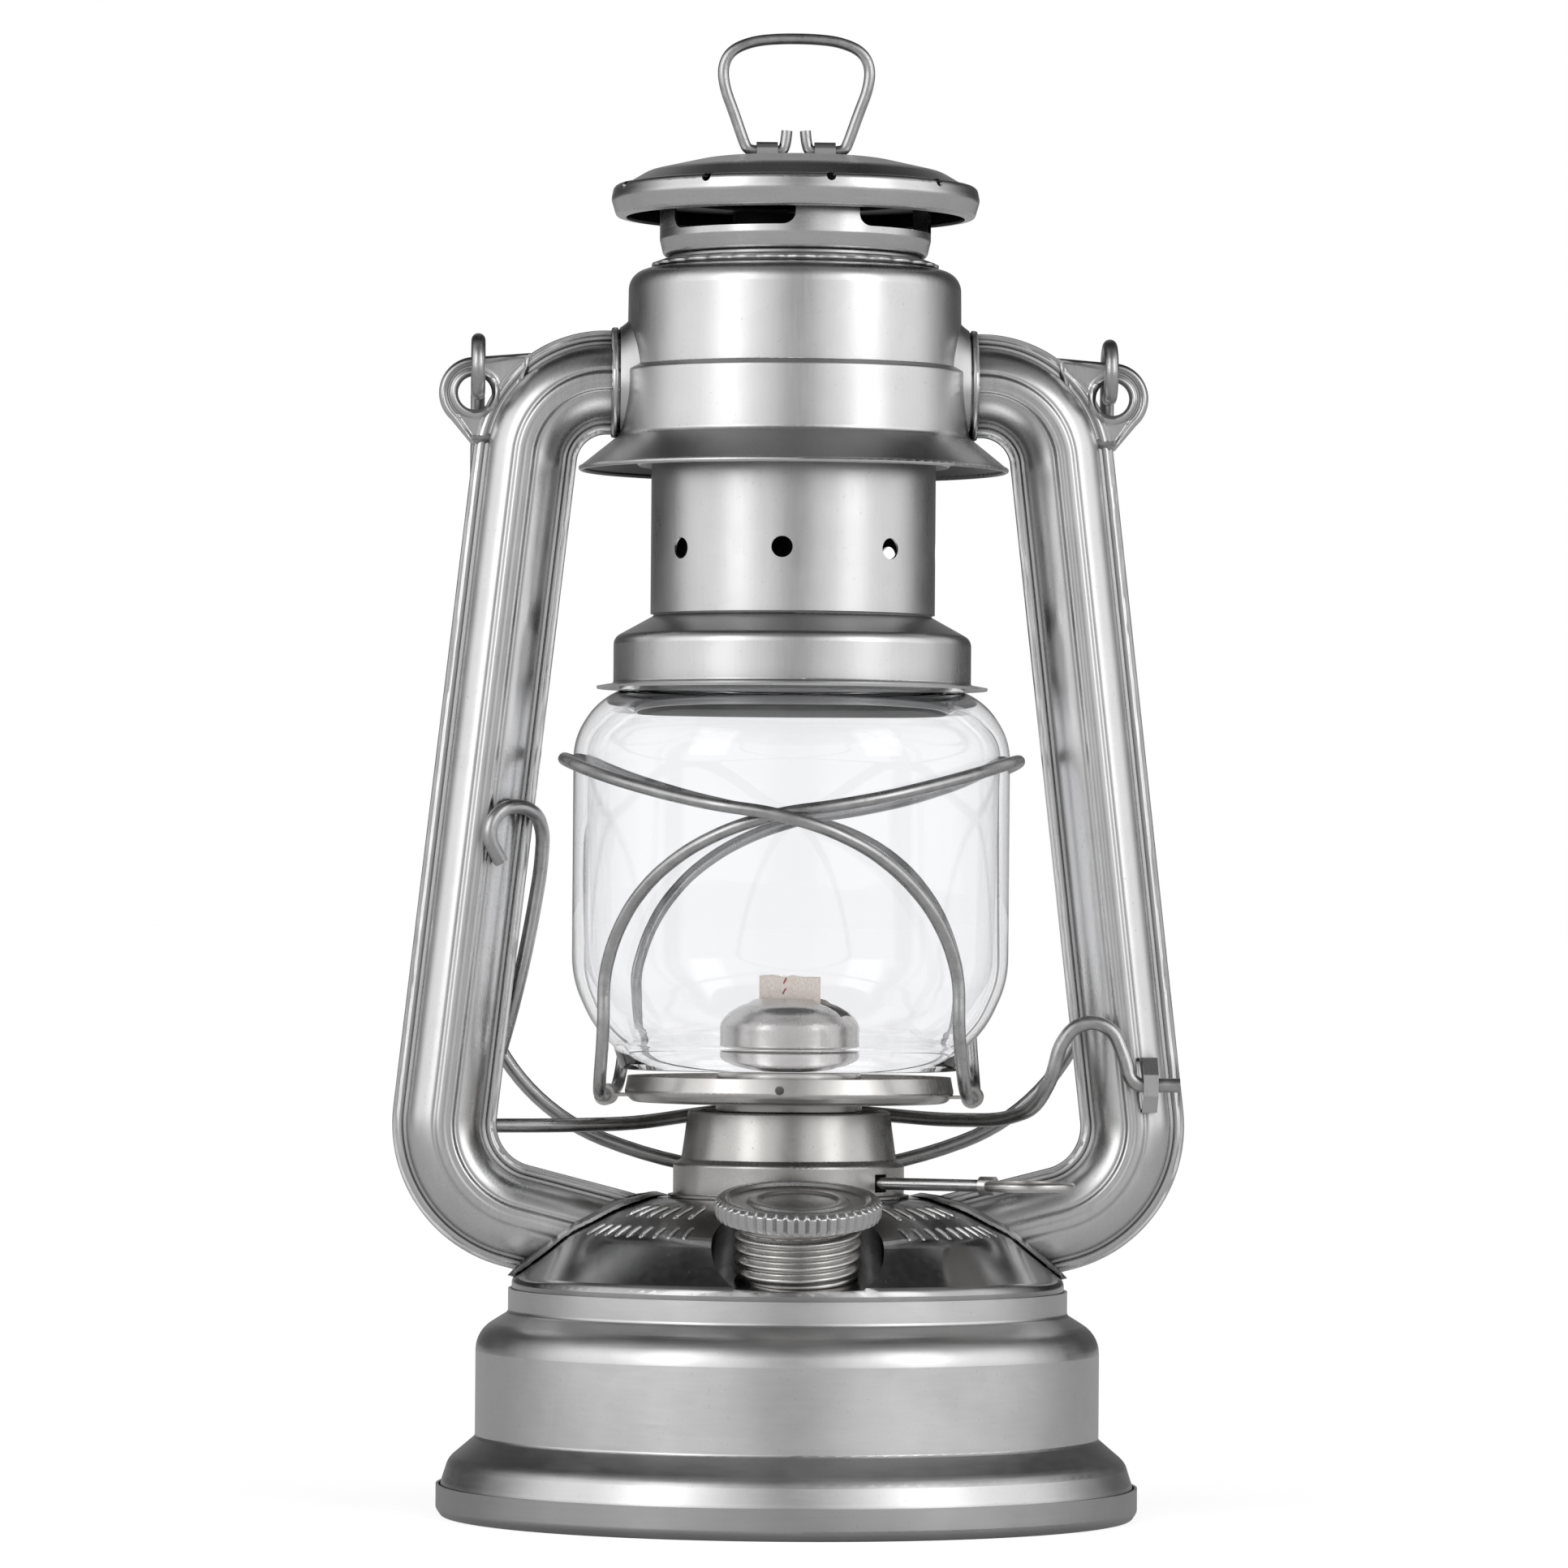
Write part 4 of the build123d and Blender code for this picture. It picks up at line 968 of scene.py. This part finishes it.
# ---- ears ---------------------------------------------------------------------------------------
def ear_reach(angle):
    """Distance from the bail hole to the ear's edge in a direction, on the right-hand side."""
    origin = Vector(EAR)
    toward = Vector((math.cos(angle), math.sin(angle)))
    best = EAR_RADIUS
    for first, second in zip(EAR_OUTLINE, EAR_OUTLINE[1:] + EAR_OUTLINE[:1]):
        start = Vector(first) - origin
        run = Vector(second) - Vector(first)
        cross = toward.x * run.y - toward.y * run.x
        if abs(cross) < 1e-9:
            continue
        distance = (start.x * run.y - start.y * run.x) / cross
        share = (start.x * toward.y - start.y * toward.x) / cross
        if distance > 0 and 0 <= share <= 1:
            best = max(best, distance)
    return best


def ear_relief(reach, distance):
    """Height of the pressing above the ear's face: a ring, a rim, and a sunk web between them."""
    ring = math.exp(-((distance - EAR_HOLE - EAR_RIM_INSET) / 0.55) ** 2)
    rim = math.exp(-((reach - distance - EAR_RIM_INSET) / 0.5) ** 2)
    in_web = min(distance - EAR_HOLE, reach - distance) > EAR_WEB_INSET
    return EAR_RIM_RISE * max(ring, rim) - (EAR_WEB_SUNK if in_web else 0.0)


def make_ear(side, side_name, facing, facing_name):
    """One face of an ear: spokes from the hole to the edge, with the relief on them."""
    bm = bmesh.new()
    origin = Vector(EAR)
    front, back = [], []
    for spoke in range(EAR_SPOKES):
        angle = 2 * math.pi * spoke / EAR_SPOKES
        reach = ear_reach(angle)
        row, under = [], []
        for step in range(EAR_STEPS + 1):
            share = step / EAR_STEPS
            distance = EAR_HOLE + (reach - EAR_HOLE) * share
            flat = origin + Vector((math.cos(angle), math.sin(angle))) * distance
            edge = min(1.0, share * 9, (1 - share) * 9)
            relief = (EAR_FACE + ear_relief(reach, distance)) * (0.55 + 0.45 * edge)
            row.append(bm.verts.new((side * flat.x, facing * relief, flat.y)))
            if step in (0, EAR_STEPS):
                under.append(bm.verts.new((side * flat.x, facing * SEAM_FACE, flat.y)))
        front.append(row)
        back.append(under)
    for spoke in range(EAR_SPOKES):
        beyond = (spoke + 1) % EAR_SPOKES
        row, next_row = front[spoke], front[beyond]
        under, next_under = back[spoke], back[beyond]
        for step in range(EAR_STEPS):
            bm.faces.new((row[step], row[step + 1], next_row[step + 1], next_row[step]))
        bm.faces.new((under[0], next_under[0], next_row[0], row[0]))
        bm.faces.new((under[1], row[-1], next_row[-1], next_under[1]))
        bm.faces.new((under[0], under[1], next_under[1], next_under[0]))
    finished(f"{side_name}_ear_{facing_name}", bm, SHEET_TUBE, "frame", (), 50.0)


def make_side_tubes():
    for side, side_name in ((-1, "left"), (1, "right")):
        for facing, facing_name in ((-1, "front"), (1, "back")):
            make_tube_half(side, side_name, facing, facing_name)
            make_ear(side, side_name, facing, facing_name)
        make_ferrule(side, side_name)
        make_foot(side, side_name)


# ---- canopy crimps and lift ring -----------------------------------------------------------------
def make_canopy_crimps():
    """Scalloped edge where the canopy's neck is crimped over its shoulder."""
    outline = rounded(CRIMP_OUTLINE, CRIMP_BENDS, 20.0)

    def scalloped(radius, height, angle):
        wave = 0.5 + 0.5 * math.cos(CRIMPS * angle)
        if radius > CRIMP_FROM:
            radius -= CRIMP_DEPTH * wave ** 2
        return radius, height

    bm = lathe(outline, CRIMPS * 12, scalloped)
    finished("canopy_crimps", bm, SHEET_BODY, "frame")


def make_lift_ring():
    """Smooth sprung ring with its ends turned in through the straps and up."""
    pivot = Vector(JOINTS["ring_swing"]["pos_m"]) / MM
    places = [(-x, z) for x, z in RING_HALF] + list(reversed(RING_HALF))
    points = [(x, pivot.y, pivot.z + z) for x, z in places]
    ring = tube_along("lift_ring_wire", points, RING_WIRE / 2, ZINC_WIRE, "ring")
    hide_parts("lift_ring")


make_globe()
make_filler_neck()
make_filler_cap()
make_dome_ribs()
make_wick()
make_wick_threads()
make_side_tubes()
make_canopy_crimps()
make_lift_ring()


# ---- studio -------------------------------------------------------------------------------------
def ramp(graph, value, stops):
    """A smooth grey ramp through (position, brightness) stops."""
    node = graph.tree.nodes.new("ShaderNodeValToRGB")
    graph.tree.links.new(value, node.inputs[0])
    elements = node.color_ramp.elements
    node.color_ramp.interpolation = "EASE"
    while len(elements) < len(stops):
        elements.new(0.5)
    for element, (place, level) in zip(elements, stops):
        element.position = place
        element.color = (level, level, level, 1.0)
    return graph.add("ShaderNodeRGBToBW", {0: node.outputs[0]})


def seen_directly(g):
    """1 for what is looked at itself, through glass too, and 0 for what is only mirrored."""
    path = g.tree.nodes.new("ShaderNodeLightPath")
    return g.math("MAXIMUM", path.outputs["Is Camera Ray"], path.outputs["Is Transmission Ray"])


def make_surroundings():
    """White where it is looked at. In reflections, a bright band each side and a darker room."""
    world = bpy.data.worlds.new("studio")
    bpy.context.scene.world = world
    world.use_nodes = True
    g = Graph(world.node_tree)
    toward = g.add("ShaderNodeTexCoord", output="Generated")
    parts = g.tree.nodes.new("ShaderNodeSeparateXYZ")
    g.tree.links.new(toward, parts.inputs[0])
    east, north, up = parts.outputs
    turn = g.math("ARCTAN2", g.math("ABSOLUTE", east), g.math("MULTIPLY", north, -1.0))
    turn = g.math("DIVIDE", turn, math.pi)
    rise = g.math("DIVIDE", g.math("ARCSINE", up), math.pi / 2)
    level = g.math("MULTIPLY", ramp(g, turn, ROOM_ROUND), ramp(g, rise, ROOM_ABOVE))
    level = g.math("MULTIPLY", level, ROOM_LEVEL)
    level = g.math("MAXIMUM", level, seen_directly(g))
    glow = g.add("ShaderNodeBackground", {"Color": (1.0, 1.0, 1.0, 1.0), "Strength": level})
    g.add("ShaderNodeOutputWorld", {"Surface": glow})


def make_floor():
    """A pale sheet of paper, darker in reflections than to the eye."""
    bm = bmesh.new()
    bmesh.ops.create_grid(bm, x_segments=8, y_segments=8, size=FLOOR_HALF)
    mesh = bpy.data.meshes.new("floor")
    bm.to_mesh(mesh)
    bm.free()
    floor = bpy.data.objects.new("floor", mesh)
    bpy.context.scene.collection.objects.link(floor)
    made, g = material("floor_paper")
    direct = seen_directly(g)
    glow = g.remap(direct, 0.0, 1.0, FLOOR_MIRRORED, FLOOR_SEEN)
    paper = g.mix(direct, (0.6, 0.6, 0.6, 1), (0.85, 0.85, 0.85, 1))
    g.surface({"Base Color": paper, "Roughness": 0.9, "Specular IOR Level": 0.1,
               "Emission Color": (1, 1, 1, 1), "Emission Strength": glow})
    dress(floor, made)


def soft_box(name, place):
    """A wide lamp that points at the middle of the lantern."""
    light = bpy.data.lights.new(name, "AREA")
    light.shape = "RECTANGLE"
    light.size, light.size_y = LAMP_SIZE
    light.energy = LAMP_POWER
    lamp = bpy.data.objects.new(name, light)
    lamp.location = place
    lamp.rotation_euler = (Vector(LAMP_AIM) - Vector(place)).to_track_quat("-Z", "Y").to_euler()
    bpy.context.scene.collection.objects.link(lamp)


def make_camera():
    """Long lens, nearly level, a little to the left of straight ahead."""
    azimuth = math.radians(CAMERA_AZIMUTH)
    place = Vector((math.sin(azimuth), -math.cos(azimuth), 0)) * CAMERA_DISTANCE
    place.z = CAMERA_HEIGHT
    lens = bpy.data.cameras.new("camera")
    lens.lens = CAMERA_LENS
    lens.sensor_width = 36.0
    lens.clip_start = 0.05
    camera = bpy.data.objects.new("camera", lens)
    look = (Vector(CAMERA_AIM) - place).to_track_quat("-Z", "Y").to_matrix().to_4x4()
    roll = Matrix.Rotation(math.radians(CAMERA_ROLL), 4, "Z")
    camera.matrix_world = Matrix.Translation(place) @ look @ roll
    bpy.context.scene.collection.objects.link(camera)
    bpy.context.scene.camera = camera


make_surroundings()
make_floor()
soft_box("box_left", (-1.3, -1.2, 0.9))
soft_box("box_right", (1.3, -1.2, 0.9))
make_camera()
bpy.context.scene.view_settings.view_transform = "Standard"
